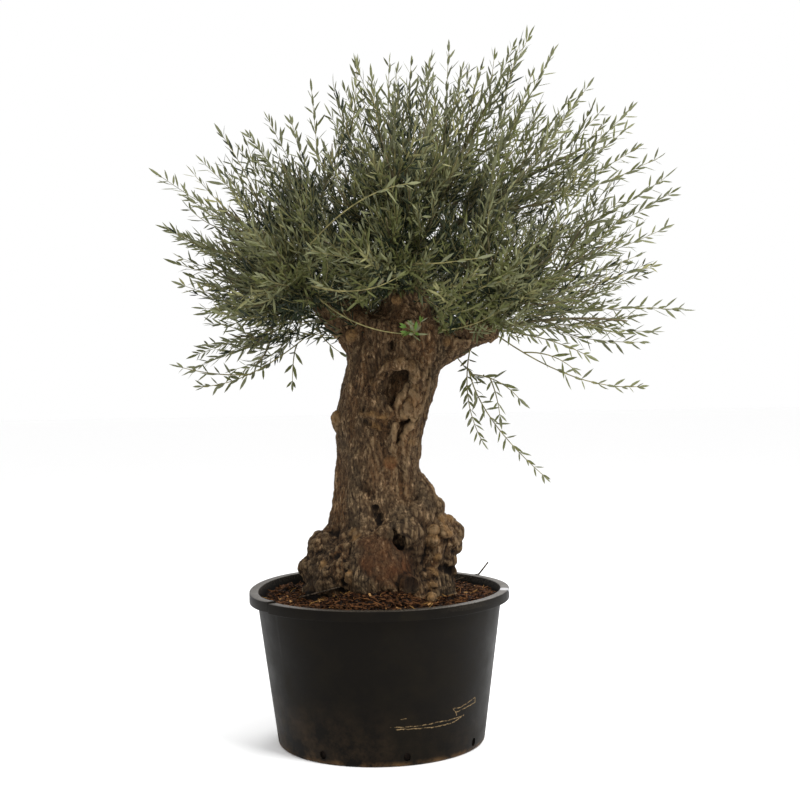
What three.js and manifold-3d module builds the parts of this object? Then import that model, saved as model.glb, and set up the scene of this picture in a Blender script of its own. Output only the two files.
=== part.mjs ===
// An old olive trained as a large bonsai, standing in a round nursery pot.
// Millimetres, +Z up, +X to the viewer's right and -Y towards the viewer.
// The origin is the middle of the pot's flat underside.
import * as THREE from "three";
import { mergeVertices } from "three/addons/utils/BufferGeometryUtils.js";
import Module from "manifold-3d";

const wasm = await Module();
wasm.setup();

// Driving dimensions

const GAP = 0.3; // clearance between neighbouring solids
const UP = new THREE.Vector3(0, 0, 1);
const GOLDEN_ANGLE = Math.PI * (3 - Math.sqrt(5));

const POT = {
  height: 402,
  rimRadius: 350,
  rimThickness: 4, // the flat flange on top
  skirtHeight: 26, // the lip that hangs from the flange's edge
  skirtThickness: 4.5,
  edgeRound: 2.5, // the flange's softened edges
  shoulderRadius: 321, // outer wall just under the flange
  baseRadius: 281,
  footChamfer: 5,
  wall: 5,
  floor: 6,
  segments: 36,
};

const DRAIN = { count: 8, radius: 9, height: 24, firstAzimuth: 284, sides: 6, cut: 40 };

const SOIL = { level: 391.7, edgeDrop: 9, flatRadius: 246 };

// The trunk's body from the flat cut at the soil to the rounded head where it forks.
const GROUND = SOIL.level + GAP;
const TRUNK_STATIONS = [
  { z: GROUND, x: -9, halfWidth: 192, halfDepth: 180 },
  { z: 456, x: -10, halfWidth: 176, halfDepth: 168 },
  { z: 524, x: -3, halfWidth: 146, halfDepth: 146 },
  { z: 590, x: 2, halfWidth: 130, halfDepth: 132 },
  { z: 660, x: 4, halfWidth: 121, halfDepth: 124 },
  { z: 781, x: 6, halfWidth: 114, halfDepth: 118 },
  { z: 880, x: 17, halfWidth: 119, halfDepth: 120 },
  { z: 960, x: 38, halfWidth: 130, halfDepth: 122 },
  { z: 1020, x: 46, halfWidth: 128, halfDepth: 124 },
  { z: 1072, x: 53, halfWidth: 122, halfDepth: 120 },
  { z: 1108, x: 57, halfWidth: 84, halfDepth: 84 },
  { z: 1120, x: 60, halfWidth: 34, halfDepth: 34 },
];
const TRUNK_SIDES = 32;
const TRUNK_LEVELS = 21;

// Soft ribs that run up the trunk: how many, how deep, and how far they twist.
const RIBS = { count: 5, depth: 0.035, twist: 1.1, phase: 0.6 };

// The swollen burr round the foot: rounded lobes that stand out of the body.
const LOBES = [
  { name: "right burr", azimuth: 352, z: 572, out: 88, halfWidth: 105, halfHeight: 116 },
  { name: "right root", azimuth: 350, z: 430, out: 40, halfWidth: 90, halfHeight: 84 },
  { name: "left burr", azimuth: 188, z: 506, out: 54, halfWidth: 112, halfHeight: 88 },
  { name: "left root", azimuth: 200, z: 410, out: 26, halfWidth: 90, halfHeight: 70 },
  { name: "front left bulge", azimuth: 228, z: 484, out: 38, halfWidth: 74, halfHeight: 84 },
  { name: "front mound", azimuth: 273, z: 482, out: 46, halfWidth: 112, halfHeight: 96 },
  { name: "front right bulge", azimuth: 308, z: 568, out: 44, halfWidth: 72, halfHeight: 90 },
  { name: "back right burr", azimuth: 44, z: 520, out: 56, halfWidth: 84, halfHeight: 98 },
  { name: "back burr", azimuth: 96, z: 470, out: 50, halfWidth: 116, halfHeight: 100 },
  { name: "back left burr", azimuth: 146, z: 494, out: 46, halfWidth: 80, halfHeight: 92 },
];

// The round knot on the trunk's left side.
const KNOT = { at: [-104, -24, 870], radius: 20 };
const BALL_SEGMENTS = [12, 8];

// The hollow in the trunk's face: an upright oval sunk into the wood.
const HOLLOW = { at: [58, -126, 944], size: [26, 62, 46], lean: 0.3 };

// Main boughs: a curve from inside the trunk's head to the place where foliage begins.
const BOUGHS = [
  {
    name: "left", thick: 64, thin: 42,
    root: [22, 0, 1036], bend: [-66, -18, 1106], tip: [-172, -40, 1206],
  },
  {
    name: "right", thick: 64, thin: 42,
    root: [80, -4, 1032], bend: [200, -12, 1084], tip: [316, -25, 1106],
  },
  {
    name: "centre", thick: 74, thin: 42,
    root: [58, -6, 1040], bend: [82, -12, 1180], tip: [116, -20, 1306],
  },
  {
    name: "back_left", thick: 56, thin: 38,
    root: [18, 30, 1020], bend: [-34, 136, 1090], tip: [-92, 220, 1212],
  },
  {
    name: "back_right", thick: 56, thin: 38,
    root: [84, 34, 1020], bend: [132, 146, 1090], tip: [202, 232, 1204],
  },
];
const BOUGH_SIDES = 9;
const BOUGH_STEPS = 4;
const ROUND_TIP = [ // how far past the end each closing ring lies, and how wide it is, in radii
  { ahead: 0.6, width: 0.78 },
  { ahead: 0.92, width: 0.38 },
];

// Foliage masses round the crown's centre: direction in degrees and the reach of the furthest tip.
const CROWN_CENTRE = new THREE.Vector3(72, 0, 1150);
const MASSES = [
  { name: "left_low", bough: "left", azimuth: 192, elevation: -14, reach: 620 },
  { name: "left_side", bough: "left", azimuth: 177, elevation: 10, reach: 668 },
  { name: "left_upper", bough: "left", azimuth: 184, elevation: 31, reach: 760 },
  { name: "left_front", bough: "left", azimuth: 226, elevation: 7, reach: 640 },
  { name: "top_left", bough: "left", azimuth: 172, elevation: 55, reach: 700 },
  { name: "top", bough: "centre", azimuth: 150, elevation: 86, reach: 720 },
  { name: "top_right", bough: "centre", azimuth: 355, elevation: 66, reach: 836 },
  { name: "right_upper", bough: "centre", azimuth: 2, elevation: 41, reach: 866 },
  { name: "top_front", bough: "centre", azimuth: 265, elevation: 46, reach: 690 },
  { name: "front", bough: "centre", azimuth: 264, elevation: 6, reach: 640 },
  { name: "right_side", bough: "right", azimuth: 358, elevation: 18, reach: 800 },
  { name: "right_low", bough: "right", azimuth: 357, elevation: -3, reach: 796 },
  { name: "right_droop", bough: "right", azimuth: 338, elevation: -18, reach: 670 },
  { name: "right_front", bough: "right", azimuth: 305, elevation: 9, reach: 660 },
  { name: "right_hanging", bough: "right", azimuth: 340, elevation: -49, reach: 592 },
  { name: "back_left", bough: "back_left", azimuth: 138, elevation: 14, reach: 650 },
  { name: "back_left_top", bough: "back_left", azimuth: 118, elevation: 48, reach: 700 },
  { name: "back", bough: "back_left", azimuth: 93, elevation: 10, reach: 640 },
  { name: "back_right", bough: "back_right", azimuth: 46, elevation: 13, reach: 700 },
  { name: "back_right_top", bough: "back_right", azimuth: 55, elevation: 46, reach: 745 },
];
const MASS_SPACE = {
  seedShare: 0.62, // how far out along its reach a mass has its middle
  halfAngle: 45, // degrees of the cone, from the crown's centre, that it keeps to
  margin: 4, // clear of the planes half way to its neighbours
  limbClearance: 16,
  leafClearance: 24, // between the middle lines of leaves, and of leaves and twigs
};

// The branching rule: a stem, twigs at golden angles round it, leaves in crossed pairs.
const STEM = { thick: 10, thin: 6, arch: 0.08, endShare: 0.9, sides: 3, steps: 4, samples: 40 };
const TWIG = {
  count: 6,
  first: 0.3, // share of the stem where the first one leaves
  last: 0.9,
  length: 340,
  taper: 0.5, // how much shorter the last one is
  vary: 0.15, // seeded change of length, more or less
  spread: 0.85, // radians from the stem
  outward: 0.7,
  lift: 0.3,
  thick: 3.6,
  thin: 3.2,
  sides: 3,
  steps: 2,
  samples: 24,
  rootSamples: 5, // of those, how many lie so near the stem that they aren't tested
  tipRoom: 0.7, // leaf lengths left free between a twig's end and the mass's reach
  trials: [1, 0.82, 0.66, 0.52, 0.4],
};
const LEAF = {
  length: 150,
  width: 44,
  thickness: 5,
  angle: 0.72, // radians from the twig
  pairs: 4,
  first: 0.26, // share of the twig where the first pair sits
  last: 0.88,
  tipShare: 0.985, // where the single leaf at the twig's end sits
  samples: 8,
};

const MATERIALS = {
  plastic: new THREE.MeshStandardMaterial({ color: 0x232423, roughness: 0.6, metalness: 0 }),
  soil: new THREE.MeshStandardMaterial({ color: 0x4a3120, roughness: 1, metalness: 0 }),
  bark: new THREE.MeshStandardMaterial({ color: 0x65503a, roughness: 0.95, metalness: 0 }),
  foliage: new THREE.MeshStandardMaterial({ color: 0x5d6649, roughness: 0.7, metalness: 0 }),
};

// Solids and meshes

function vector(list) {
  return new THREE.Vector3(...list);
}

// A closed three.js geometry as a solid that can be joined and cut.
function solidOf(geometry) {
  const bare = new THREE.BufferGeometry();
  bare.setAttribute("position", geometry.getAttribute("position"));
  bare.setIndex(geometry.index);
  const merged = mergeVertices(bare, 1e-3);
  const corners = merged.index.array;
  const kept = [];
  for (let i = 0; i < corners.length; i += 3) {
    const [a, b, c] = [corners[i], corners[i + 1], corners[i + 2]];
    if (a !== b && b !== c && c !== a) kept.push(a, b, c);
  }
  return new wasm.Manifold(
    new wasm.Mesh({
      numProp: 3,
      vertProperties: merged.getAttribute("position").array,
      triVerts: new Uint32Array(kept),
    }),
  );
}

function join(solids) {
  return wasm.Manifold.union(solids);
}

// The main body of a solid: loose scraps are dropped and sealed hollows filled.
function mainBody(solid) {
  const bodies = solid.decompose();
  return bodies.reduce((best, body) => (body.volume() > best.volume() ? body : best));
}

function meshOf(name, solid, material) {
  const { vertProperties, triVerts } = solid.getMesh();
  const geometry = new THREE.BufferGeometry();
  geometry.setAttribute("position", new THREE.BufferAttribute(vertProperties, 3));
  geometry.setIndex(new THREE.BufferAttribute(triVerts, 1));
  geometry.computeVertexNormals();
  const mesh = new THREE.Mesh(geometry, material);
  mesh.name = name;
  return mesh;
}

// A closed skin over a row of rings with equal counts, with a flat fan on each end.
function skin(rings) {
  const sides = rings[0].length;
  const points = rings.flat();
  const faces = [];
  for (let ring = 0; ring + 1 < rings.length; ring++) {
    for (let side = 0; side < sides; side++) {
      const next = (side + 1) % sides;
      const [a, b] = [ring * sides + side, ring * sides + next];
      faces.push(a, b, b + sides, a, b + sides, a + sides);
    }
  }
  const last = (rings.length - 1) * sides;
  for (let side = 1; side + 1 < sides; side++) {
    faces.push(0, side + 1, side);
    faces.push(last, last + side, last + side + 1);
  }
  const geometry = new THREE.BufferGeometry().setFromPoints(points);
  geometry.setIndex(faces);
  return geometry;
}

function revolved(profile, segments) {
  const points = profile.map(([radius, height]) => new THREE.Vector2(radius, height));
  return new THREE.LatheGeometry(points, segments).rotateX(Math.PI / 2);
}

// A tapering limb along a curve. A round tip ends in two shrinking rings.
function limb(curve, { thick, thin, sides, steps, roundTip = false }, grow = 0) {
  const frames = curve.computeFrenetFrames(steps, false);
  const ringAt = (centre, step, radius) =>
    Array.from({ length: sides }, (_, side) => {
      const angle = (2 * Math.PI * side) / sides;
      return centre
        .clone()
        .addScaledVector(frames.normals[step], radius * Math.cos(angle))
        .addScaledVector(frames.binormals[step], radius * Math.sin(angle));
    });
  const rings = [];
  for (let step = 0; step <= steps; step++) {
    const share = step / steps;
    const radius = THREE.MathUtils.lerp(thick, thin, share) + grow;
    rings.push(ringAt(curve.getPointAt(share), step, radius));
  }
  if (roundTip) {
    const radius = thin + grow;
    for (const { ahead, width } of ROUND_TIP) {
      const centre = curve.getPointAt(1).addScaledVector(frames.tangents[steps], radius * ahead);
      rings.push(ringAt(centre, steps, radius * width));
    }
  }
  return skin(rings);
}

// A repeatable number from 0 to 1 for each set of keys: the fraction of a large sine.
const HASH = { weights: [12.9898, 78.233, 37.719], shift: 4.1, size: 43758.5453 };

function chance(...keys) {
  const angle = keys.reduce((sum, key, index) => sum + key * HASH.weights[index], HASH.shift);
  const mixed = Math.sin(angle) * HASH.size;
  return mixed - Math.floor(mixed);
}

// Pot and soil

function potProfile() {
  const { height, rimRadius, rimThickness, skirtHeight, skirtThickness, edgeRound } = POT;
  const { shoulderRadius, baseRadius, footChamfer, wall, floor } = POT;
  const mouth = shoulderRadius - wall;
  return [
    [0, 0],
    [baseRadius - footChamfer, 0],
    [baseRadius, footChamfer],
    [shoulderRadius, height - rimThickness],
    [rimRadius - skirtThickness, height - rimThickness],
    [rimRadius - skirtThickness, height - skirtHeight],
    [rimRadius, height - skirtHeight],
    [rimRadius, height - edgeRound],
    [rimRadius - edgeRound, height],
    [mouth + edgeRound, height],
    [mouth, height - edgeRound],
    [baseRadius - wall, floor],
    [0, floor],
  ];
}

function potSolid() {
  const body = solidOf(revolved(potProfile(), POT.segments));
  const holes = Array.from({ length: DRAIN.count }, (_, index) => {
    const turn = THREE.MathUtils.degToRad(DRAIN.firstAzimuth + (360 * index) / DRAIN.count);
    const hole = new THREE.CylinderGeometry(DRAIN.radius, DRAIN.radius, DRAIN.cut, DRAIN.sides);
    hole.rotateZ(Math.PI / 2);
    hole.translate(POT.baseRadius, 0, DRAIN.height);
    return solidOf(hole.rotateZ(turn));
  });
  return body.subtract(join(holes));
}

// Radius of the pot's inner wall at a height.
function innerRadius(height) {
  const top = POT.height - POT.edgeRound;
  const share = (height - POT.floor) / (top - POT.floor);
  return THREE.MathUtils.lerp(POT.baseRadius, POT.shoulderRadius, share) - POT.wall;
}

function soilSolid() {
  const bottom = POT.floor + GAP;
  const edge = SOIL.level - SOIL.edgeDrop;
  const profile = [
    [0, bottom],
    [innerRadius(bottom) - GAP, bottom],
    [innerRadius(edge) - GAP, edge],
    [SOIL.flatRadius, SOIL.level],
    [0, SOIL.level],
  ];
  return solidOf(revolved(profile, POT.segments));
}

// Trunk

const trunkAxis = new THREE.CatmullRomCurve3(
  TRUNK_STATIONS.map((station) => new THREE.Vector3(station.x, 0, station.z)),
  false,
  "catmullrom",
);
const trunkGirth = new THREE.CatmullRomCurve3(
  TRUNK_STATIONS.map((station) => new THREE.Vector3(station.halfWidth, station.halfDepth, 0)),
  false,
  "catmullrom",
);

// The share of a curve through the stations that lies at a height.
function shareAtHeight(height) {
  const last = TRUNK_STATIONS.length - 1;
  let index = TRUNK_STATIONS.findIndex((station) => station.z > height) - 1;
  if (index < 0) index = last - 1;
  const { z: low } = TRUNK_STATIONS[index];
  const { z: high } = TRUNK_STATIONS[index + 1];
  return (index + (height - low) / (high - low)) / last;
}

// How far the burr stands out at an azimuth and height. The highest lobe there counts.
function burrHeight(angle, height, radius) {
  return LOBES.reduce((most, lobe) => {
    const apart = angle - THREE.MathUtils.degToRad(lobe.azimuth);
    const across = (radius * Math.atan2(Math.sin(apart), Math.cos(apart))) / lobe.halfWidth;
    const along = (height - lobe.z) / lobe.halfHeight;
    return Math.max(most, lobe.out * (1 - across * across - along * along));
  }, 0);
}

function trunkBody(grow) {
  const top = TRUNK_STATIONS.at(-1).z;
  const rings = [];
  for (let level = 0; level <= TRUNK_LEVELS; level++) {
    const height = THREE.MathUtils.lerp(GROUND, top, level / TRUNK_LEVELS);
    const share = shareAtHeight(height);
    const centre = trunkAxis.getPoint(share);
    const girth = trunkGirth.getPoint(share);
    const endShift = level === 0 ? -grow : level === TRUNK_LEVELS ? grow : 0;
    const ring = Array.from({ length: TRUNK_SIDES }, (_, side) => {
      const angle = (2 * Math.PI * side) / TRUNK_SIDES;
      const rib = Math.cos(RIBS.count * angle + RIBS.phase + RIBS.twist * 2 * Math.PI * share);
      const swell = 1 + RIBS.depth * rib;
      const out = burrHeight(angle, height, girth.x) + grow;
      return new THREE.Vector3(
        centre.x + (girth.x * swell + out) * Math.cos(angle),
        centre.y + (girth.y * swell + out) * Math.sin(angle),
        height + endShift,
      );
    });
    rings.push(ring);
  }
  return solidOf(skin(rings));
}

function ellipsoid(size) {
  return new THREE.SphereGeometry(1, ...BALL_SEGMENTS).rotateX(Math.PI / 2).scale(...size);
}

function trunkSolid(grow = 0) {
  const radius = KNOT.radius + grow;
  const knot = ellipsoid([radius, radius, radius]).translate(...KNOT.at);
  return trunkBody(grow).add(solidOf(knot));
}

function hollowSolid() {
  return solidOf(ellipsoid(HOLLOW.size).rotateY(HOLLOW.lean).translate(...HOLLOW.at));
}

// Boughs

for (const bough of BOUGHS) {
  bough.curve = new THREE.QuadraticBezierCurve3(vector(bough.root), vector(bough.bend), vector(bough.tip));
  const { thick, thin } = bough;
  bough.shape = { thick, thin, sides: BOUGH_SIDES, steps: BOUGH_STEPS, roundTip: true };
}

function boughSolid(bough, grow = 0) {
  return solidOf(limb(bough.curve, bough.shape, grow));
}

// Foliage

function directionOf(azimuth, elevation) {
  const turn = THREE.MathUtils.degToRad(azimuth);
  const rise = THREE.MathUtils.degToRad(elevation);
  return new THREE.Vector3(
    Math.cos(rise) * Math.cos(turn),
    Math.cos(rise) * Math.sin(turn),
    Math.sin(rise),
  );
}

for (const mass of MASSES) {
  const bough = BOUGHS.find((candidate) => candidate.name === mass.bough);
  mass.direction = directionOf(mass.azimuth, mass.elevation);
  mass.middle = CROWN_CENTRE.clone().addScaledVector(mass.direction, mass.reach * MASS_SPACE.seedShare);
  const start = bough.curve.getPoint(1);
  const stemReach = mass.reach - STEM.endShare * LEAF.length;
  const end = CROWN_CENTRE.clone().addScaledVector(mass.direction, stemReach);
  const bend = start.clone().lerp(end, 0.5).addScaledVector(UP, STEM.arch * start.distanceTo(end));
  mass.stem = new THREE.QuadraticBezierCurve3(start, bend, end);
}

// Points along each limb with the radius there, for keeping foliage clear of wood.
function wayPoints(curve, radiusAt, count, owner) {
  return curve.getSpacedPoints(count).map((point, index) => ({
    point,
    radius: radiusAt(index / count),
    owner,
  }));
}

function taperOf({ thick, thin }) {
  return (share) => THREE.MathUtils.lerp(thick, thin, share);
}

const WOOD = [
  ...wayPoints(trunkAxis, (share) => trunkGirth.getPointAt(share).x, STEM.samples, null),
  ...BOUGHS.flatMap((bough) => wayPoints(bough.curve, taperOf(bough), TWIG.samples, null)),
  ...MASSES.flatMap((mass) => wayPoints(mass.stem, taperOf(STEM), STEM.samples, mass)),
];

function clearOfWood(point, mass) {
  return WOOD.every(
    ({ point: centre, radius, owner }) =>
      owner === mass || point.distanceTo(centre) > radius + MASS_SPACE.limbClearance,
  );
}

// Inside a mass's own space: nearer its middle than any other's, in its cone and within its reach.
function inSpace(point, mass, inset) {
  const out = point.clone().sub(CROWN_CENTRE);
  if (out.length() > mass.reach - inset) return false;
  if (out.angleTo(mass.direction) > THREE.MathUtils.degToRad(MASS_SPACE.halfAngle)) return false;
  return MASSES.every((other) => {
    if (other === mass) return true;
    const apart = mass.middle.distanceTo(other.middle);
    const lead = point.distanceToSquared(other.middle) - point.distanceToSquared(mass.middle);
    return lead / (2 * apart) > MASS_SPACE.margin;
  });
}

function fits(points, mass, inset = 0) {
  return points.every((point) => inSpace(point, mass, inset) && clearOfWood(point, mass));
}

// A direction square to another, turned about it by an angle. A steep one is measured from +X.
const STEEP = 0.9;

function sideOf(direction, angle) {
  const reference = Math.abs(direction.z) < STEEP ? UP : new THREE.Vector3(1, 0, 0);
  const side = new THREE.Vector3().crossVectors(direction, reference).normalize();
  return side.applyAxisAngle(direction, angle);
}

// A twig leaves the stem sideways and bends outwards and up. It is shortened until it fits.
function twigOf(mass, massIndex, index) {
  const place = index / (TWIG.count - 1);
  const share = THREE.MathUtils.lerp(TWIG.first, TWIG.last, place);
  const start = mass.stem.getPoint(share);
  const along = mass.stem.getTangent(share);
  const turn = index * GOLDEN_ANGLE + 2 * Math.PI * chance(massIndex, 0, 3);
  const leaving = along.clone().multiplyScalar(Math.cos(TWIG.spread));
  leaving.addScaledVector(sideOf(along, turn), Math.sin(TWIG.spread));
  const outward = start.clone().sub(CROWN_CENTRE).normalize();
  const settling = leaving.clone().addScaledVector(outward, TWIG.outward).addScaledVector(UP, TWIG.lift);
  settling.normalize();
  const change = 1 + TWIG.vary * (2 * chance(massIndex, index, 4) - 1);
  const full = TWIG.length * (1 - TWIG.taper * place) * change;
  for (const trial of TWIG.trials) {
    const length = full * trial;
    const bend = start.clone().addScaledVector(leaving, length / 2);
    const end = bend.clone().addScaledVector(settling, length / 2);
    const curve = new THREE.QuadraticBezierCurve3(start, bend, end);
    const free = curve.getPoints(TWIG.samples).slice(TWIG.rootSamples);
    if (fits(free, mass, TWIG.tipRoom * LEAF.length)) return { curve, turn, shape: TWIG };
  }
  return null;
}

// A mass's stem and the twigs on it that fit.
function limbsOf(mass, massIndex) {
  const limbs = [{ curve: mass.stem, turn: massIndex, shape: STEM }];
  for (let index = 0; index < TWIG.count; index++) {
    const twig = twigOf(mass, massIndex, index);
    if (twig) limbs.push(twig);
  }
  return limbs;
}

// The places for leaves on a limb: crossed pairs that stand off it, and one in line at its end.
function leafPlaces({ curve, turn }) {
  const places = [];
  for (let pair = 0; pair < LEAF.pairs; pair++) {
    const share = THREE.MathUtils.lerp(LEAF.first, LEAF.last, pair / (LEAF.pairs - 1));
    const along = curve.getTangent(share);
    for (const hand of [0, 1]) {
      const side = sideOf(along, turn + (pair + 2 * hand) * (Math.PI / 2));
      const direction = along.clone().multiplyScalar(Math.cos(LEAF.angle));
      direction.addScaledVector(side, Math.sin(LEAF.angle));
      const face = along.clone().multiplyScalar(Math.sin(LEAF.angle));
      face.addScaledVector(side, -Math.cos(LEAF.angle));
      places.push({ root: curve.getPoint(share), direction, face });
    }
  }
  const along = curve.getTangent(1);
  places.push({ root: curve.getPoint(LEAF.tipShare), direction: along, face: sideOf(along, turn) });
  return places;
}

// One lance-shaped leaf: three long edges from a root on the limb's middle line to the tip.
// A sphere of three segments and two rows gives them, round a triangle that fits in a unit circle.
const UNIT_TRIANGLE = { side: Math.sqrt(3), height: 1.5 };

function leafBlade({ root, direction, face }) {
  const across = new THREE.Vector3().crossVectors(face, direction).normalize();
  const blade = new THREE.SphereGeometry(1, 3, 2);
  const { side, height } = UNIT_TRIANGLE;
  blade.scale(LEAF.thickness / height, LEAF.length / 2, LEAF.width / side);
  blade.translate(0, LEAF.length / 2, 0);
  return blade.applyMatrix4(new THREE.Matrix4().makeBasis(face, direction, across).setPosition(root));
}

function leafLine({ root, direction }) {
  return Array.from({ length: LEAF.samples }, (_, index) =>
    root.clone().addScaledVector(direction, (LEAF.length * (index + 1)) / LEAF.samples),
  );
}

// The leaves of a mass that stay in its space and clear of each other and of the other limbs.
function leavesOf(mass, limbs) {
  const blades = [];
  const taken = limbs.flatMap((owner) =>
    owner.curve.getSpacedPoints(owner.shape.samples).map((point) => ({ point, owner })),
  );
  for (const owner of limbs) {
    for (const place of leafPlaces(owner)) {
      const line = leafLine(place);
      const free = line.every((point) =>
        taken.every(
          (other) => other.owner === owner || point.distanceTo(other.point) > MASS_SPACE.leafClearance,
        ),
      );
      if (!free || !fits(line, mass)) continue;
      blades.push(solidOf(leafBlade(place)));
      taken.push(...line.map((point) => ({ point, owner: null })));
    }
  }
  return blades;
}

function massSolid(mass, massIndex) {
  const bough = BOUGHS.find((candidate) => candidate.name === mass.bough);
  const limbs = limbsOf(mass, massIndex);
  const wood = limbs.map(({ curve, shape }) => solidOf(limb(curve, shape)));
  return mainBody(join([...wood, ...leavesOf(mass, limbs)]).subtract(boughSolid(bough, GAP)));
}

// Assembly

const plant = new THREE.Group();

const container = new THREE.Group();
container.add(meshOf("pot", potSolid(), MATERIALS.plastic));
container.add(meshOf("soil", soilSolid(), MATERIALS.soil));
plant.add(container);

const wood = new THREE.Group();
wood.add(meshOf("trunk", mainBody(trunkSolid().subtract(hollowSolid())), MATERIALS.bark));
let taken = trunkSolid(GAP);
for (const bough of BOUGHS) {
  wood.add(meshOf(`bough_${bough.name}`, mainBody(boughSolid(bough).subtract(taken)), MATERIALS.bark));
  taken = taken.add(boughSolid(bough, GAP));
}
plant.add(wood);

const crown = new THREE.Group();
MASSES.forEach((mass, index) => {
  crown.add(meshOf(`foliage_${mass.name}`, massSolid(mass, index), MATERIALS.foliage));
});
plant.add(crown);

export default plant;
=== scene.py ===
import math
from collections import namedtuple
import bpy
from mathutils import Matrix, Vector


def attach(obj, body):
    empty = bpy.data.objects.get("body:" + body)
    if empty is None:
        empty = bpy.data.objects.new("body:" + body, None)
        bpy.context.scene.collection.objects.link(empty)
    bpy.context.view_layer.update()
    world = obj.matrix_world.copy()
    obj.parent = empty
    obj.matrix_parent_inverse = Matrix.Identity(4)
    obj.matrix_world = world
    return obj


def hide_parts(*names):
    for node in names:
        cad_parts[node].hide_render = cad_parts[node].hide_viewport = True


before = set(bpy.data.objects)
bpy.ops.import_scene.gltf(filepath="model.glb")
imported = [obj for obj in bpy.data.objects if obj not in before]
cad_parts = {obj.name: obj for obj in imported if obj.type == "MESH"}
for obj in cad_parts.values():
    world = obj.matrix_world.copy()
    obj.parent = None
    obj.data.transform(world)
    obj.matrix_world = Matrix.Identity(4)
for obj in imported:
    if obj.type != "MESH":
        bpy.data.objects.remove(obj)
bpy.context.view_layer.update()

from types import SimpleNamespace as Sizes

import bpy
import numpy as np
import openvdb

# An old olive trained as a large bonsai, standing in a round nursery pot.
# Sizes are in millimetres, as in the part's source, and meshes are made in metres.

MM = 0.001
UP = np.array([0.0, 0.0, 1.0])
GOLDEN_ANGLE = math.pi * (3 - math.sqrt(5))
STEEP = 0.9  # a direction nearer the vertical than this is measured from +X

# Camera of the photograph: 800 pixels square, level pot seen from just under the crown's middle

CAMERA = Sizes(at=(65.8, -3500, 955), pitch=-0.635, roll=1.0, lens=58.14, sensor=36)

# Driving sizes of the pot and soil

POT = Sizes(
    height=402, rim_radius=350, rim_thickness=4, skirt_height=26, skirt_thickness=4.5,
    shoulder_radius=331, base_radius=279, foot_chamfer=5, wall=5, floor=6,
    segments=160, edge_round=2.5, round_steps=4, arc_room=0.45, sharp_angle=38, warp=1.3,
    rim_rise=(7.0, 5.5, -2.5, -2.75),  # the rim is out of level: mean, to the back, to the right and askew
)
# Warp of the pot, sideways and up: share of its size, waves round the pot and where they start
WARP_ASIDE = [(1.0, 2, 0.7), (0.5, 5, 2.0)]
WARP_UP = [(1.0, 3, 1.1)]
# The rim is split here, and its left side stands up
SPLIT = Sizes(azimuth=217, gap=0.25, rise=5.0, fade=8)
# The rim's flat lip, and a spot on it with a painted highlight: a pale glint laid into its colour
LIP = Sizes(inner=325.5, outer=347, height=391, soft=2, facing_up=0.5)
GLINT_SPOT = Sizes(at=(333, -54, 406), half_sizes=(17, 21, 9))
DRAIN = Sizes(count=8, radius=9, tall=1.25, height=24, first_azimuth=284, cut=40, sides=20)
SOIL = Sizes(
    level=391.7, edge_drop=9, flat_radius=246, front_rise=5, front=(120, 290),
    first_ring=4.0, rings=56, segments=168, clear=1.0,
)
SOIL_CRUMBS = [(3.2, 34, 5), (2.6, 15, 6), (1.8, 8, 7)]  # height, size and salt of each kind of crumb

# Heaps and hollows in the soil: place, height over the level and radius
SOIL_HEAPS = [
    (10, -218, 27, 84), (-85, -196, 24, 80), (70, -202, 20, 60), (-250, 50, 20, 52), (-205, -60, 10, 45),
    (40, 214, 16, 110), (-150, 190, 12, 80), (205, 40, 6, 80), (0, -292, 4, 80), (-170, -232, 6, 70),
]
SOIL_SLOT = Sizes(at=(-186, -112), half_length=32, half_width=24, depth=24, turn=-0.5)
# Painted shadow: near black on the bark where the soil leaves the trunk's foot
FOOT_SHADOW = Sizes(at=(-178, -96, 404), half_sizes=(36, 34, 15))

# Trunk: height, sideways shift, half width and half depth at each station

GROUND = 392
TRUNK_STATIONS = np.array([
    (GROUND, -9, 192, 180), (456, -10, 176, 168), (524, -3, 146, 146), (590, 2, 130, 132),
    (660, 2, 117, 122), (781, 8, 113, 117), (880, 20, 120, 120), (960, 36, 127, 122),
    (1020, 44, 125, 124), (1072, 53, 122, 120), (1108, 57, 84, 84), (1120, 60, 34, 34),
], float)
RIBS = Sizes(count=5, depth=0.035, twist=1.1, phase=0.6)

# Lobes of the burr: azimuth, height, how far they stand out, half width and half height
LOBES = [
    (352, 552, 82, 105, 106), (350, 430, 34, 90, 84), (188, 504, 30, 108, 72), (200, 410, 6, 90, 70),
    (228, 484, 38, 74, 84), (273, 482, 46, 112, 96), (308, 568, 44, 72, 90), (44, 520, 56, 84, 98),
    (96, 470, 50, 116, 100), (146, 494, 46, 80, 92),
]

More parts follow.
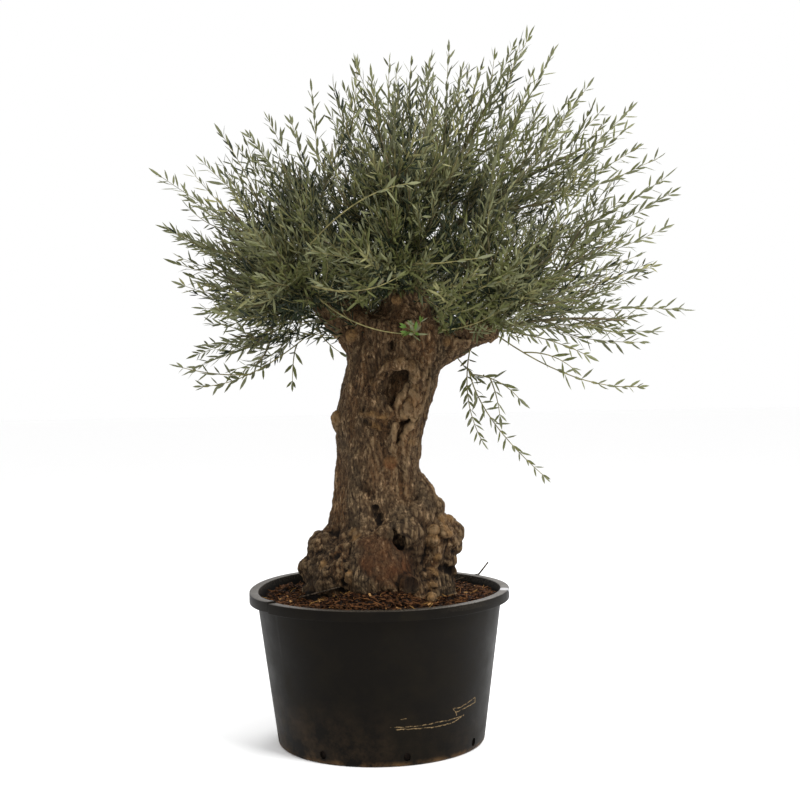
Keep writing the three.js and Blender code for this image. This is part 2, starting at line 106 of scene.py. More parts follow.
# Knobs on the trunk: azimuth, height, radius and how much more than usual they stand out
PALE_KNOBS = [
    (333, 623, 17, 5), (338, 600, 15, 6), (350, 592, 15, 4), (334, 563, 20, 7), (325, 571, 14, 4),
    (323, 549, 17, 5), (331, 498, 14, 3), (331, 478, 16, 5), (329, 456, 12, 3), (326, 429, 15, 6),
    (245, 563, 18, 4), (222, 491, 13, 4), (250, 470, 12, 5), (250, 458, 12, 4), (240, 883, 12, 1),
    (248, 880, 13, 2), (257, 875, 15, 2), (265, 873, 12, 2), (273, 870, 14, 2), (262, 846, 13, 1),
    (315, 805, 12, 1), (36, 560, 18, 4), (68, 500, 17, 4), (152, 520, 17, 4),
]
BARK_KNOBS = [
    (318, 610, 34, 5), (298, 571, 36, 1), (278, 562, 23, 2), (356, 562, 30, 5), (358, 549, 22, 6),
    (352, 520, 26, 3), (345, 626, 22, 0), (341, 530, 22, 1), (346, 488, 22, 0), (4, 572, 30, 3),
    (348, 455, 24, 0), (308, 530, 24, -4), (196, 538, 20, 6), (204, 551, 17, 6), (220, 562, 16, 2),
    (232, 562, 18, 1), (232, 528, 17, 4), (213, 527, 16, 3), (198, 513, 20, 4), (213, 507, 14, 4),
    (236, 498, 17, 4), (227, 515, 13, 3), (246, 493, 13, 3), (230, 470, 15, 4), (240, 461, 15, 3),
    (210, 465, 18, 4), (201, 478, 16, 4), (225, 446, 16, 3), (236, 440, 14, 2), (192, 480, 18, -4),
    (186, 445, 20, -8), (262, 690, 14, -4), (285, 700, 13, -4), (279, 446, 24, 8), (268, 672, 12, -3),
]
# Knobs drawn by chance: count, azimuths, lowest height, span of heights and how it is spread, radii and lifts
SEEDED_KNOBS = {
    "back": (74, (-8, 186), 405, 215, (1.3, 1.7), (13, 31), (-6, 4)),
    "front": (40, (192, 352), 405, 200, (1.2, 1.5), (7, 15), (-3, 4)),
    "high": (16, (0, 360), 650, 360, None, (8, 16), (-7, -2)),
}
KNOB_SEED = 11
LOW_BACK_LEFT = Sizes(azimuth=150, height=530)  # back knobs past this azimuth stay under this height
SIDE_KNOT = Sizes(at=(-103, -24, 872), neck=(-96, -22, 846), radius=15)
ROOT_STUB = Sizes(at=(136, -194, 409), radius=16)
SAWN_ROOT = Sizes(azimuth=295, height=445, radius=30, lift=17, buried=40, saw_radius=60)

# A rounded limb that runs from the trunk's right side on to the burr: places and radii
SHOULDER = [((88, -30, 730), 24), ((106, -48, 692), 26), ((132, -62, 656), 27), ((158, -66, 632), 24)]

# Swellings of the head between the boughs: middle and radius
SWELLINGS = [
    ((92, -62, 1118), 50), ((22, -72, 1102), 44), ((-30, -40, 1110), 44), ((140, -40, 1080), 48),
    ((70, 70, 1110), 60),
]

# Rolls of bark on the trunk, the first two worn pale: azimuth, height and radius along each
BARK_ROLLS = [
    [(257, 925, 8), (253, 942, 10), (250, 966, 12), (257, 988, 13), (268, 1008, 12), (281, 1018, 10)],
    [(276, 1002, 9), (291, 1005, 12), (304, 986, 13), (306, 951, 11), (301, 910, 10), (294, 876, 8)],
    [(318, 960, 9), (312, 905, 10), (305, 850, 8)],
    [(286, 850, 9), (284, 800, 9), (289, 776, 7)],
]
# Strands of wood down the trunk's right side: height and azimuth of their ends
STRANDS = Sizes(top=(1035, 347), foot=(705, 334), apart=9.5, count=7, radius=8.5, sway=2.2, points=9)

# Each groove: how deep it goes, then azimuth, height and radius along it
GROOVES = [
    (12, [(307, 870, 4), (299, 852, 8), (295, 830, 6), (296, 806, 4)]),
    (22, [(286, 586, 7), (290, 562, 13), (293, 538, 10)]),
    (6, [(267, 638, 3), (270, 615, 4.5), (271, 594, 4)]),
    (4, [(250, 690, 3), (256, 680, 4), (262, 664, 3)]),
    (2, [(297, 790, 4), (301, 740, 4), (303, 690, 4), (306, 640, 5)]),
    (12, [(327, 610, 7), (326, 621, 7)]),
    (1, [(248, 860, 3), (258, 855, 4), (273, 852, 4), (286, 858, 3)]),
    (3, [(322, 1000, 5), (318, 930, 6), (312, 870, 5)]),
    (4, [(40, 640, 5), (52, 560, 9), (60, 470, 7)]),
    (4, [(120, 620, 5), (122, 530, 9), (128, 440, 7)]),
    (3, [(75, 900, 4), (80, 830, 6), (84, 740, 4)]),
    (3, [(150, 960, 4), (148, 880, 6), (156, 800, 4)]),
    (28, [(289, 990, 11), (286, 980, 19), (281, 963, 18), (278, 941, 13), (279, 920, 8), (281, 900, 4)]),
]
BOWLS = [  # shallower hollows: centre, half sizes and lean
    ((34, -140, 944), (36, 30, 48), 0.3),
    ((47, -126, 1062), (10, 30, 18), 0.15),
    ((62, 122, 1000), (20, 40, 34), -0.2),
    ((152, -6, 738), (39, 90, 25), 0.2),
    ((184, -6, 681), (45, 90, 26), -0.5),
]
SMOOTH_MOUND = Sizes(
    azimuth=281, height=500, half_width=106, half_height=62, slope=0.34,
    radius=190, steepness=2.4, knob_free=0.1, outside=120,
)
RED_WOUND = Sizes(azimuth=287, height=752, radius=17, half_depth=18, lift=12, lean=0.5)
SHADED = [((312, 515), 62), ((306, 470), 40), ((214, 440), 48)]  # painted shade on the bark: azimuth and height, and radius
# How softly each kind of shape runs into the wood
BLEND = Sizes(
    trunk=1.0, fork=42, swelling=21, knob=3.5, shoulder=14, roll=9, strand=6, root=6, hollow=8, saw=3)
ROLL_LIFT = 4  # how far rolls of bark, and then strands, lie over the skin
STRAND_LIFT = -2.5
GROOVE_STEP = 12  # a groove is cut in steps of about this depth
# How unevenly rolls and grooves run
WANDER = Sizes(points=4, azimuth=0.9, height=1.5, radius=(0.65, 1.15))
ROLL_SEED = 40
KNOB_VARY = 0.3  # how uneven knobs are
LOBE_SHARE = 0.9  # lobes stand out less than in the part's source, as knobs lie on them
KNOB_SINK = 0.55  # share of a knob's radius by which its middle lies under the skin

# Bark: step of its mesh, width and length of its furrows and plates, and sizes of its lumps and patches
BARK = {
    "voxel": 4.3, "broad": (24, 110), "middle": (10, 34), "fine": (6.5, 16), "flute": (60, 420),
    "strip": (24, 150), "grain": (5, 8), "plate": (22, 80), "bend": (34, 70), "burr": (24, 24, 30),
    "worn": (85, 85, 190), "lumps": (95, 48), "gnarl": (27, 14), "patch": 13, "stain": 24,
}
# How high each kind of relief stands, and how much of it is left where bark is smooth
RELIEF = Sizes(flute=7.5, broad=3.2, middle=2.6, fine=1.6, grain=1.2, lumps=6.5, gnarl=3.4, smooth=0.6)
BURR_TOP = (660, 560)  # the burr's own relief begins and is full at these heights
WOOD_BOX = ((-285, -285, GROUND - 12), (385, 300, 1375))
# Where bark turns from running up the trunk to running along a bough
BARK_RUN = Sizes(trunk_radius=118, trunk_top=1060, fade=60, low=960, bias=0.12, apart=1400, points=40)

# Main boughs: radius at both ends, and the curve from the trunk's head to where foliage begins
BOUGHS = {
    "left": (54, 14, (22, 0, 1040), (-54, -18, 1116), (-160, -40, 1214)),
    "right": (58, 12, (80, -4, 1032), (200, -12, 1084), (316, -25, 1106)),
    "centre": (72, 14, (58, -6, 1040), (82, -12, 1180), (116, -20, 1306)),
    "back_left": (56, 13, (18, 30, 1020), (-34, 136, 1090), (-92, 220, 1212)),
    "back_right": (56, 13, (84, 34, 1020), (132, 146, 1090), (202, 232, 1204)),
}
BOUGH_CUTS = [((190, -64, 1069), 13), ((-58, -75, 1091), 14), ((60, -92, 1180), 15), ((-120, 20, 1180), 14)]

# Foliage masses: bough, azimuth, elevation, reach, lowest elevation, upward pull of the shoots, and fullness
Mass = namedtuple("Mass", "bough azimuth elevation reach lowest lift fullness")
CROWN_CENTRE = np.array([72.0, 0.0, 1150.0])
FAN_CENTRE = np.array([72.0, 0.0, 930.0])  # shoots fan out from here
MASSES = {
    "left_low": Mass("left", 192, -14, 620, -20, -0.35, 0.42),
    "left_side": Mass("left", 177, 10, 668, -10, 0.1, 1.12),
    "left_upper": Mass("left", 184, 31, 760, 8, 0.2, 1.0),
    "left_front": Mass("left", 226, 7, 640, -10, 0.0, 1.3),
    "top_left": Mass("left", 172, 55, 700, 25, 0.3, 0.78),
    "top": Mass("centre", 150, 86, 720, 45, 0.3, 0.8),
    "top_right": Mass("centre", 355, 66, 836, 35, 0.3, 0.86),
    "right_upper": Mass("centre", 2, 41, 866, 15, 0.15, 1.0),
    "top_front": Mass("centre", 265, 46, 690, 12, 0.25, 1.2),
    "front": Mass("centre", 264, 6, 640, -9, 0.0, 1.2),
    "right_side": Mass("right", 358, 18, 800, 2, 0.1, 1.0),
    "right_low": Mass("right", 357, -3, 796, -9, -0.2, 0.65),
    "right_droop": Mass("right", 338, -18, 670, -22, -0.4, 0.0),
    "right_front": Mass("right", 305, 9, 660, -13, 0.0, 1.1),
    "right_hanging": Mass("right", 340, -49, 592, -75, -0.9, 0.0),
    "back_left": Mass("back_left", 138, 14, 650, -10, 0.1, 1.0),
    "back_left_top": Mass("back_left", 118, 48, 700, 15, 0.25, 1.0),
    "back": Mass("back_left", 93, 10, 640, -10, 0.1, 1.0),
    "back_right": Mass("back_right", 46, 13, 700, -10, 0.1, 1.0),
    "back_right_top": Mass("back_right", 55, 46, 745, 15, 0.25, 1.0),
}
MASS_SPACE = Sizes(seed_share=0.62, half_angle=52, overlap=70, limb_clearance=12, focus=26, free_radius=200)
FULL_MASS = 0.7  # a mass less full than this has slimmer limbs and no smaller inner leaves
SLIM = 0.6  # share of the usual thickness that its limbs have

# Branching rule: a stem, twigs at golden angles round it, shoots round both, leaves in crossed pairs
STEM = {"thick": 8.5, "thin": 2.2, "arch": 0.08, "end_room": 190, "sides": 8, "steps": 14}
TWIG = {
    "count": 15, "first": 0.14, "last": 0.95, "length": 340, "taper": 0.5, "vary": 0.15, "spread": 0.85,
    "outward": 0.7, "lift": 0.3, "thick": 3.2, "thin": 1.4, "sides": 5, "steps": 7, "tip_room": 130,
    "trials": (1, 0.82, 0.66, 0.52, 0.4, 0.3),
}
SHOOT = {
    "apart": 7, "first": 0.12, "shortest": 60, "spread": 0.62, "outward": 1.2, "long_share": 0.11,
    "thick": 1.6, "thin": 0.7, "sides": 3, "steps": 5, "trials": (1, 0.86, 0.72, 0.6, 0.48, 0.38, 0.3),
    "last": 0.98, "spread_vary": (0.7, 1.3), "tip_spread": 0.08, "bough_first": 0.35,
    "bough_spread": (0.8, 1.3), "inertia": 0.9, "stray": 0.18, "bend": 0.4, "tip_room": 12,
}
INNER_SHOOT = Sizes(usual=165, vary=0.3, radius=(330, 500))  # fill the crown's middle, out to a radius
OUTER_SHOOT = Sizes(usual=330, vary=0.22, share=(0.78, 1.0))  # stand out, to a share of the reach
TWIG_RADIUS = 560  # twigs end within this radius of the crown's centre
EDGE = Sizes(lobes=6.5, depth=0.16)  # uneven outline of the crown
OPENING = Sizes(x=(38, 152), z=1192)  # no leaves here in front of the trunk's head
LEAF = Sizes(
    length=42, width=7.9, angle=0.68, angle_vary=0.2, turn_vary=0.25, apart=16,
    first=0.1, last=0.97, end=0.985, end_size=0.8, vary=0.17, smallest=0.55, largest=1.35,
    twist=0.6, bend=0.1, narrower=0.2,  # leaves at the front and back are narrower by up to this share
)
INNER_LEAVES = {"share": 0.86, "apart": 14, "width": 0.74}
INNER_SHARE = 0.8  # shoots that end within this share of the reach bear inner leaves
# Shares of mature, grey, deep and young leaves, by where in the crown a shoot ends. The deep skin is the leaf
# darkened by painted shade, and inner and low left shoots take it most.
TINTS = {
    "outer": (0.44, 0.32, 0.14, 0.1), "inner": (0.2, 0.04, 0.74, 0.02),
    "low_left": (0.2, 0.03, 0.75, 0.02), "low_right": (0.52, 0.16, 0.26, 0.06),
}
TINT_OUTER = 0.72  # share of the reach
TINT_LOW_RIGHT = Sizes(x=230, z=1260)
LIGHT = np.array([0.21, -0.8, 0.56])  # leaves on single shoots turn their faces this way
# A bright young tuft at the end of an arching shoot
SPROUT = Sizes(
    mass="front", at=(106, -430, 1077), shoots=6, length=30, vary=(0.6, 1.1),
    lean=(0.1, -0.2, 0.55), spread=(0.7, 0.4, 0.25), first=0.3, leaf_share=0.58, skin=4,
)

# Furthest tips of the crown's outline, across and up
LEADERS = [
    (575, 1067), (859, 1147), (816, 1374), (831, 1472), (805, 1507), (796, 1570), (756, 1615), (714, 1656),
    (726, 1712), (641, 1706), (605, 1774), (560, 1750), (506, 1868), (437, 1902), (395, 1880), (314, 1856),
    (258, 1842), (222, 1908), (162, 1835), (112, 1850), (50, 1752), (1, 1812), (-75, 1780), (-116, 1708),
    (-169, 1786), (-230, 1700), (-298, 1715), (-344, 1653), (-374, 1620), (-430, 1560), (-471, 1576),
    (-612, 1560), (-520, 1480), (-578, 1396), (-553, 1299), (-469, 1157), (-520, 1046), (-519, 1004),
    (740, 1300), (770, 1240),
]
LEADER = Sizes(
    first=0.2, start_share=0.46, bow=0.07, depth=70, leaf_room=30,
    leaves={"share": 1.12, "spread": 1.1, "lit": 0.45},
)

# Long arching shoots that show in front of the crown: mass, start, bend, end and bare share
ARCH = Sizes(
    room=70,  # it joins a limb that is this near its start
    shape={"thick": 2.1, "thin": 0.9, "steps": 14, "sides": 5},
    leaves={"share": 0.97, "spread": 1.3, "apart": 20, "width": 1.05, "lit": 0.6},
)
ARCHING_SHOOTS = [
    ("front", (-175, -220, 1225), (-60, -470, 1075), (106, -430, 1077), 0.985),
    ("left_front", (-112, -420, 1262), (-30, -610, 1392), (92, -570, 1412), 0.7),
    ("front", (-140, -430, 1196), (-20, -560, 1150), (66, -520, 1206), 0.6),
    ("front", (106, -440, 1200), (150, -470, 1236), (254, -450, 1252), 0.5),
    ("right_front", (200, -400, 1130), (270, -430, 1190), (345, -420, 1208), 0.5),
    ("right_front", (172, -330, 1090), (250, -380, 1090), (312, -380, 1134), 0.5),
    ("right_hanging", (205, -30, 1034), (230, -50, 1005), (268, -60, 975), 0.6),
    ("right_hanging", (272, -36, 1066), (215, -70, 930), (281, -80, 804), 0.15),
    ("right_hanging", (262, -50, 1000), (276, -80, 860), (446, -100, 706), 0.12),
    ("right_hanging", (264, -60, 985), (330, -80, 975), (380, -90, 915), 0.2),
    ("right_hanging", (300, -74, 960), (322, -85, 930), (328, -90, 872), 0.1),
    ("right_droop", (306, -36, 1096), (520, -110, 930), (695, -120, 942), 0.42),
    ("right_droop", (306, -36, 1098), (450, -80, 1085), (556, -100, 1028), 0.3),
    ("right_droop", (400, -66, 1052), (470, -90, 1040), (520, -110, 992), 0.3),
    ("left_low", (-118, -40, 1146), (-300, -160, 960), (-450, -150, 962), 0.45),
    ("left_low", (-330, -130, 1008), (-400, -150, 985), (-500, -150, 1012), 0.3),
    ("left_low", (-200, -92, 1076), (-212, -130, 1050), (-214, -140, 968), 0.35),
    ("left_low", (-150, -60, 1120), (-135, -130, 1076), (-90, -150, 1046), 0.4),
]


# Making meshes

def add_node(tree, kind, inputs=None, **settings):
    """Adds a node. An input given as a socket is linked, and any other value is set."""
    made = tree.nodes.new(kind)
    for name, value in settings.items():
        setattr(made, name, value)
    for key, value in (inputs or {}).items():
        if isinstance(value, bpy.types.NodeSocket):
            tree.links.new(value, made.inputs[key])
        else:
            made.inputs[key].default_value = value
    return made


def to_linear(colour):
    """An sRGB hex colour as linear red, green, blue and alpha."""
    parts = [int(colour[start:start + 2], 16) / 255 for start in (1, 3, 5)]
    return [p / 12.92 if p <= 0.04045 else ((p + 0.055) / 1.055) ** 2.4 for p in parts] + [1.0]


def per_metre(size):
    """How often a pattern of a size in millimetres comes in a metre, which is the scale of a noise."""
    return 1 / (size * MM)


def mesh_piece(name, points, face_groups, materials, face_slots=None, smooth=True):
    """A mesh object from arrays of points, in millimetres, and of faces with equal corner counts."""
    mesh = bpy.data.meshes.new(name)
    counts = np.concatenate([np.full(len(group), group.shape[1]) for group in face_groups])
    corners = np.concatenate([group.ravel() for group in face_groups])
    mesh.vertices.add(len(points))
    mesh.vertices.foreach_set("co", (points * MM).astype(np.float32).ravel())
    mesh.loops.add(len(corners))
    mesh.loops.foreach_set("vertex_index", corners.astype(np.int32))
    mesh.polygons.add(len(counts))
    mesh.polygons.foreach_set("loop_start", (np.cumsum(counts) - counts).astype(np.int32))
    mesh.polygons.foreach_set("use_smooth", np.full(len(counts), smooth))
    for material in materials:
        mesh.materials.append(material)
    if face_slots is not None:
        mesh.polygons.foreach_set("material_index", np.asarray(face_slots, np.int32))
    mesh.update(calc_edges=True)
    mesh.validate()
    made = bpy.data.objects.new(name, mesh)
    bpy.context.scene.collection.objects.link(made)
    return made


def hand_over(made, slot, *nodes):
    """Fixes a piece to the body and hides the part's nodes that it stands for."""
    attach(made, "root")
    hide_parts(*nodes)


def grid_faces(rows, columns):
    """Four-cornered faces of a sheet of rows, whose columns close round."""
    across = np.arange(columns)
    here = (np.arange(rows - 1)[:, None] * columns + across).ravel()
    after = (np.arange(rows - 1)[:, None] * columns + (across + 1) % columns).ravel()
    return np.stack([here, after, after + columns, here + columns], axis=1)


def fan_faces(middle, start, columns, with_ring):
    """Triangles from a middle point to the points of a ring, in the ring's own sense or against it."""
    here = start + np.arange(columns)
    pair = (here, np.roll(here, -1)) if with_ring else (np.roll(here, -1), here)
    return np.stack([np.full(columns, middle), *pair], axis=1)


# Seeded numbers and noise

HASH = Sizes(weights=np.array([12.9898, 78.233, 37.719]), shift=4.1, size=43758.5453)


def chance(*keys):
    """A repeatable number from 0 to 1 for each set of keys: the fraction of a large sine."""
    large = math.sin(sum(k * w for k, w in zip(keys, HASH.weights)) + HASH.shift) * HASH.size
    return large - math.floor(large)


def scatter(cells, salt):
    """A repeatable number from 0 to 1 for each cell. Another salt gives another set."""
    large = np.sin(cells @ HASH.weights + HASH.shift + salt) * HASH.size
    return large - np.floor(large)


def soft_noise(places, salt):
    """Smooth noise from -1 to 1 whose bumps lie one unit apart."""
    base = np.floor(places)
    ease = places - base
    ease = ease * ease * (3 - 2 * ease)
    total = np.zeros(len(places))
    for corner in np.ndindex(2, 2, 2):
        share = np.prod(np.where(corner, ease, 1 - ease), axis=1)
        total += share * scatter(base + corner, salt)
    return 2 * total - 1


def ramp(values, low, high):
    """A soft step from 0 at low to 1 at high."""
    share = np.clip((values - low) / (high - low), 0, 1)
    return share * share * (3 - 2 * share)


# Curves

def lengths(vectors):
    return np.linalg.norm(vectors, axis=-1)


def dots(first, second):
    return np.einsum("ij,ij->i", first, second)


def unit(vectors):
    return vectors / np.maximum(np.linalg.norm(vectors, axis=-1, keepdims=True), 1e-9)


def bezier(curve, shares):
    """Places at shares of a curve's run, from its start past its bend to its end."""
    start, bend, end = (np.asarray(point, float) for point in curve)
    share = np.asarray(shares, float)[..., None]
    return (1 - share) ** 2 * start + 2 * share * (1 - share) * bend + share ** 2 * end


def bezier_heading(curve, shares):
    start, bend, end = (np.asarray(point, float) for point in curve)
    share = np.asarray(shares, float)[..., None]
    return unit((1 - share) * (bend - start) + share * (end - bend))


def side_of(directions, angles):
    """Directions square to others, turned about them by angles."""
    steep = np.abs(directions[..., 2:]) >= STEEP
    reference = np.where(steep, np.array([1.0, 0.0, 0.0]), UP)
    side = unit(np.cross(directions, reference))
    turn = np.asarray(angles)[..., None]
    return side * np.cos(turn) + np.cross(directions, side) * np.sin(turn)


def direction_of(azimuth, elevation):
    turn, rise = math.radians(azimuth), math.radians(elevation)
    return np.array([math.cos(rise) * math.cos(turn), math.cos(rise) * math.sin(turn), math.sin(rise)])


def spline(values, share):
    """A curve through values that are evenly spaced, as in the part's source."""
    last = len(values) - 1
    index = np.clip(np.floor(share * last).astype(int), 0, last - 1)
    rest = share * last - index
    padded = np.concatenate([[2 * values[0] - values[1]], values, [2 * values[-1] - values[-2]]])
    before, low, high, after = (padded[index + step] for step in range(4))
    leave, arrive = (high - before) / 2, (after - low) / 2
    cubic = (2 * low - 2 * high + leave + arrive) * rest ** 3
    return cubic + (-3 * low + 3 * high - 2 * leave - arrive) * rest ** 2 + leave * rest + low


# Materials

def new_material(name, roughness, specular):
    """A material, its tree, its shader, and the place that its patterns are laid out by."""
    made = bpy.data.materials.new(name)
    made.use_nodes = True
    tree = made.node_tree
    shader = tree.nodes["Principled BSDF"]
    shader.inputs["Roughness"].default_value = roughness
    shader.inputs["Specular IOR Level"].default_value = specular
    return made, tree, shader, add_node(tree, "ShaderNodeTexCoord").outputs["Object"]


def coated(tree, ground, *coats):
    """A colour with coats over it, one after another: each is a share from 0 to 1 and a colour."""
    for share, colour in coats:
        under, over = (to_linear(part) if isinstance(part, str) else part for part in (ground, colour))
        ground = add_node(tree, "ShaderNodeMix", {0: share, 6: under, 7: over}, data_type="RGBA").outputs[2]
    return ground


def shares_of(tree, bands, overlaps=()):
    """Shares by name. A band is what it follows, where it starts and is full, and perhaps its least and most.
    An overlap is a name, and two shares that are multiplied."""
    share = {}
    for name, (value, start, full, *ends) in bands.items():
        least, most = ends or (0, 1)
        share[name] = add_node(tree, "ShaderNodeMapRange", {
            "Value": value, "From Min": start, "From Max": full, "To Min": least, "To Max": most}).outputs[0]
    for name, first, second in overlaps:
        share[name] = add_node(tree, "ShaderNodeMath", {
            0: share[first], 1: share[second]}, operation="MULTIPLY").outputs[0]
    return share


def pot_plastic(name, gloss):
    """Black polypropylene, injection moulded: a matt skin with a broad sheen, dusty and scratched by use.
    Use has polished the rim's lip, so its gloss is higher than the wall's."""
    made, tree, shader, place = new_material(name, 0.5, gloss)
    spot = add_node(tree, "ShaderNodeSeparateXYZ", {"Vector": place}).outputs
    dust = add_node(tree, "ShaderNodeTexNoise", {
        "Vector": place, "Scale": per_metre(111), "Detail": 8.0, "Roughness": 0.65}).outputs["Fac"]
    smear = add_node(tree, "ShaderNodeTexNoise", {
        "Vector": place, "Scale": per_metre(62.5), "Detail": 9.0, "Roughness": 0.7}).outputs["Fac"]
    # Specks and grit are drawn coarser than they are, or they wouldn't show
    specks = add_node(tree, "ShaderNodeTexNoise", {
        "Vector": place, "Scale": per_metre(4.17), "Detail": 5.0, "Roughness": 0.75}).outputs["Fac"]
    grit = add_node(tree, "ShaderNodeTexNoise", {
        "Vector": place, "Scale": per_metre(3.85), "Detail": 3.0}).outputs["Fac"]
    bands = {
        "dusty": (dust, 0.45, 0.8), "worn": (dust, 0.3, 0.75, 0.4, 0.62), "mud": (smear, 0.44, 0.74),
        "near_ground": (spot["Z"], 170 * MM, 0, 0, 0.95), "left": (spot["X"], 100 * MM, -220 * MM, 0.3, 1.2),
        "foot": (spot["Z"], 16 * MM, 3 * MM), "clods": (smear, 0.42, 0.6),
        "strewn": (specks, 0.45, 0.68, 0, 0.6), **rim_bands(tree, place),
    }
    share = shares_of(tree, bands, [
        ("mud_left", "left", "mud"), ("soiled", "near_ground", "mud_left"), ("crust", "foot", "clods"),
        ("ring", "inside", "outside"), ("lip", "ring", "above"), ("lip_specks", "strewn", "lip"),
        # split: painted shade, near black, down the rim's split
        ("split", "beside", "ahead")])
    body = coated(
        tree, "#090807", (share["dusty"], "#15120c"), (share["soiled"], "#3d3022"),
        # paler grey-brown specks on the rim's lip only
        (share["crust"], "#58422a"), (scrape_share(tree, place), "#857050"), (share["lip_specks"], "#6a6053"),
        # the pale glint on the rim's right end is a painted highlight
        (share["painted_glint"], "#a9a9ad"), (share["split"], "#030302"))
    tree.links.new(body, shader.inputs["Base Color"])
    shader.inputs["Specular Tint"].default_value = to_linear("#fff1e0")
    tree.links.new(share["worn"], shader.inputs["Roughness"])
    bump = add_node(tree, "ShaderNodeBump", {"Height": grit, "Strength": 0.12, "Distance": 1 * MM})
    tree.links.new(bump.outputs["Normal"], shader.inputs["Normal"])
    return made


def rim_bands(tree, place):
    """Where a place comes on to the rim's flat lip, into its split and on to the spot of painted highlight.
    """
    height = add_node(tree, "ShaderNodeSeparateXYZ", {"Vector": place}).outputs["Z"]
    level = add_node(tree, "ShaderNodeVectorMath", {0: place, 1: (1.0, 1.0, 0.0)}, operation="MULTIPLY")
    out = add_node(tree, "ShaderNodeVectorMath", {0: level.outputs[0]}, operation="LENGTH").outputs["Value"]
    turn = math.radians(SPLIT.azimuth)
    aside = add_node(tree, "ShaderNodeVectorMath", {
        0: place, 1: (math.sin(turn), -math.cos(turn), 0.0)}, operation="DOT_PRODUCT").outputs["Value"]
    aside = add_node(tree, "ShaderNodeMath", {0: aside}, operation="ABSOLUTE").outputs[0]
    ahead = add_node(tree, "ShaderNodeVectorMath", {
        0: place, 1: (math.cos(turn), math.sin(turn), 0.0)}, operation="DOT_PRODUCT").outputs["Value"]
    away = add_node(tree, "ShaderNodeVectorMath", {
        0: place, 1: tuple(value * MM for value in GLINT_SPOT.at)}, operation="SUBTRACT")
    away = add_node(tree, "ShaderNodeVectorMath", {
        0: away.outputs[0], 1: tuple(1 / (value * MM) for value in GLINT_SPOT.half_sizes)}, operation="MULTIPLY")
    away = add_node(tree, "ShaderNodeVectorMath", {0: away.outputs[0]}, operation="LENGTH").outputs["Value"]
    soft, inner, outer, lowest = (size * MM for size in (LIP.soft, LIP.inner, LIP.outer, LIP.height))
    return {
        "inside": (out, inner - soft, inner), "outside": (out, outer + soft, outer),
        "above": (height, lowest - soft, lowest), "beside": (aside, 1.5 * soft, soft),
        "ahead": (ahead, inner - 2 * soft, inner - soft), "painted_glint": (away, 1.1, 0.8),
    }


# Scrapes on the pot's wall: azimuth and height along each
SCRAPES = [
    [(275.2, 103), (289.7, 102), (299.5, 105.5), (309.4, 105), (317, 108.5)],
    [(277.9, 98), (289.7, 96), (299.6, 94), (309.5, 96), (317, 108)],
    [(311.8, 113), (311, 122), (309.1, 133), (314.7, 132.5), (325.8, 146), (326.2, 132.5), (315.4, 125),
     (311, 121)],
    [(280.5, 123.6), (283.2, 125.2)],
]
# Their half width, and the noise that sways them and leaves gaps in them
SCRAPE = Sizes(half_width=1.0, sway=6, sway_size=11.1, gap_size=7.14)
WALL_RADIUS = 292  # of the pot's wall where the scrapes are
FRONT = 270  # azimuth of the pot's front


def scrape_share(tree, place):
    """How much a place on the pot's wall is scraped: near a line of the scrapes, broken up by noise."""
    spot = add_node(tree, "ShaderNodeSeparateXYZ", {"Vector": place}).outputs
    toward = add_node(tree, "ShaderNodeMath", {0: spot["Y"], 1: -1.0}, operation="MULTIPLY").outputs[0]
    angle = add_node(tree, "ShaderNodeMath", {0: spot["X"], 1: toward}, operation="ARCTAN2").outputs[0]
    arc = add_node(tree, "ShaderNodeMath", {0: angle, 1: WALL_RADIUS * MM}, operation="MULTIPLY").outputs[0]
    flat = add_node(tree, "ShaderNodeCombineXYZ", {"X": arc, "Y": spot["Z"]}).outputs[0]
    sway = add_node(tree, "ShaderNodeTexNoise", {
        "Vector": place, "Scale": per_metre(SCRAPE.sway_size), "Detail": 2.0})
    sway = add_node(tree, "ShaderNodeVectorMath", {
        0: sway.outputs["Color"], 1: (0.5, 0.5, 0.5)}, operation="SUBTRACT")
    sway = add_node(tree, "ShaderNodeVectorMath", {
        0: sway.outputs[0], "Scale": SCRAPE.sway * MM}, operation="SCALE")
    flat = add_node(tree, "ShaderNodeVectorMath", {0: flat, 1: sway.outputs[0]}).outputs[0]
    nearest = None
    for line in SCRAPES:
        spots = [(math.radians(azimuth - FRONT) * WALL_RADIUS * MM, height * MM, 0.0)
                 for azimuth, height in line]
        for start, end in zip(spots, spots[1:]):
            span = np.subtract(end, start)
            out = add_node(tree, "ShaderNodeVectorMath", {0: flat, 1: start}, operation="SUBTRACT").outputs[0]
            dot = add_node(tree, "ShaderNodeVectorMath", {0: out, 1: tuple(span)}, operation="DOT_PRODUCT")
            share = add_node(tree, "ShaderNodeMath", {
                0: dot.outputs["Value"], 1: float(1 / (span @ span))}, operation="MULTIPLY", use_clamp=True)
            foot = add_node(tree, "ShaderNodeVectorMath", {
                0: tuple(span), "Scale": share.outputs[0]}, operation="SCALE").outputs[0]
            apart = add_node(tree, "ShaderNodeVectorMath", {0: out, 1: foot}, operation="DISTANCE")
            apart = apart.outputs["Value"]
            if nearest is not None:
                apart = add_node(tree, "ShaderNodeMath", {0: nearest, 1: apart}, operation="MINIMUM")
                apart = apart.outputs[0]
            nearest = apart
    half_width = SCRAPE.half_width * MM
    scraped = add_node(tree, "ShaderNodeMapRange", {
        "Value": nearest, "From Min": 1.5 * half_width, "From Max": 0.6 * half_width}).outputs[0]
    gaps = add_node(tree, "ShaderNodeTexNoise", {
        "Vector": place, "Scale": per_metre(SCRAPE.gap_size), "Detail": 3.0})
    kept = add_node(tree, "ShaderNodeMapRange", {
        "Value": gaps.outputs["Fac"], "From Min": 0.34, "From Max": 0.62}).outputs[0]
    in_front = add_node(tree, "ShaderNodeMath", {0: toward, 1: 0.0}, operation="GREATER_THAN").outputs[0]
    for other in (kept, in_front):
        scraped = add_node(tree, "ShaderNodeMath", {0: scraped, 1: other}, operation="MULTIPLY").outputs[0]
    return scraped


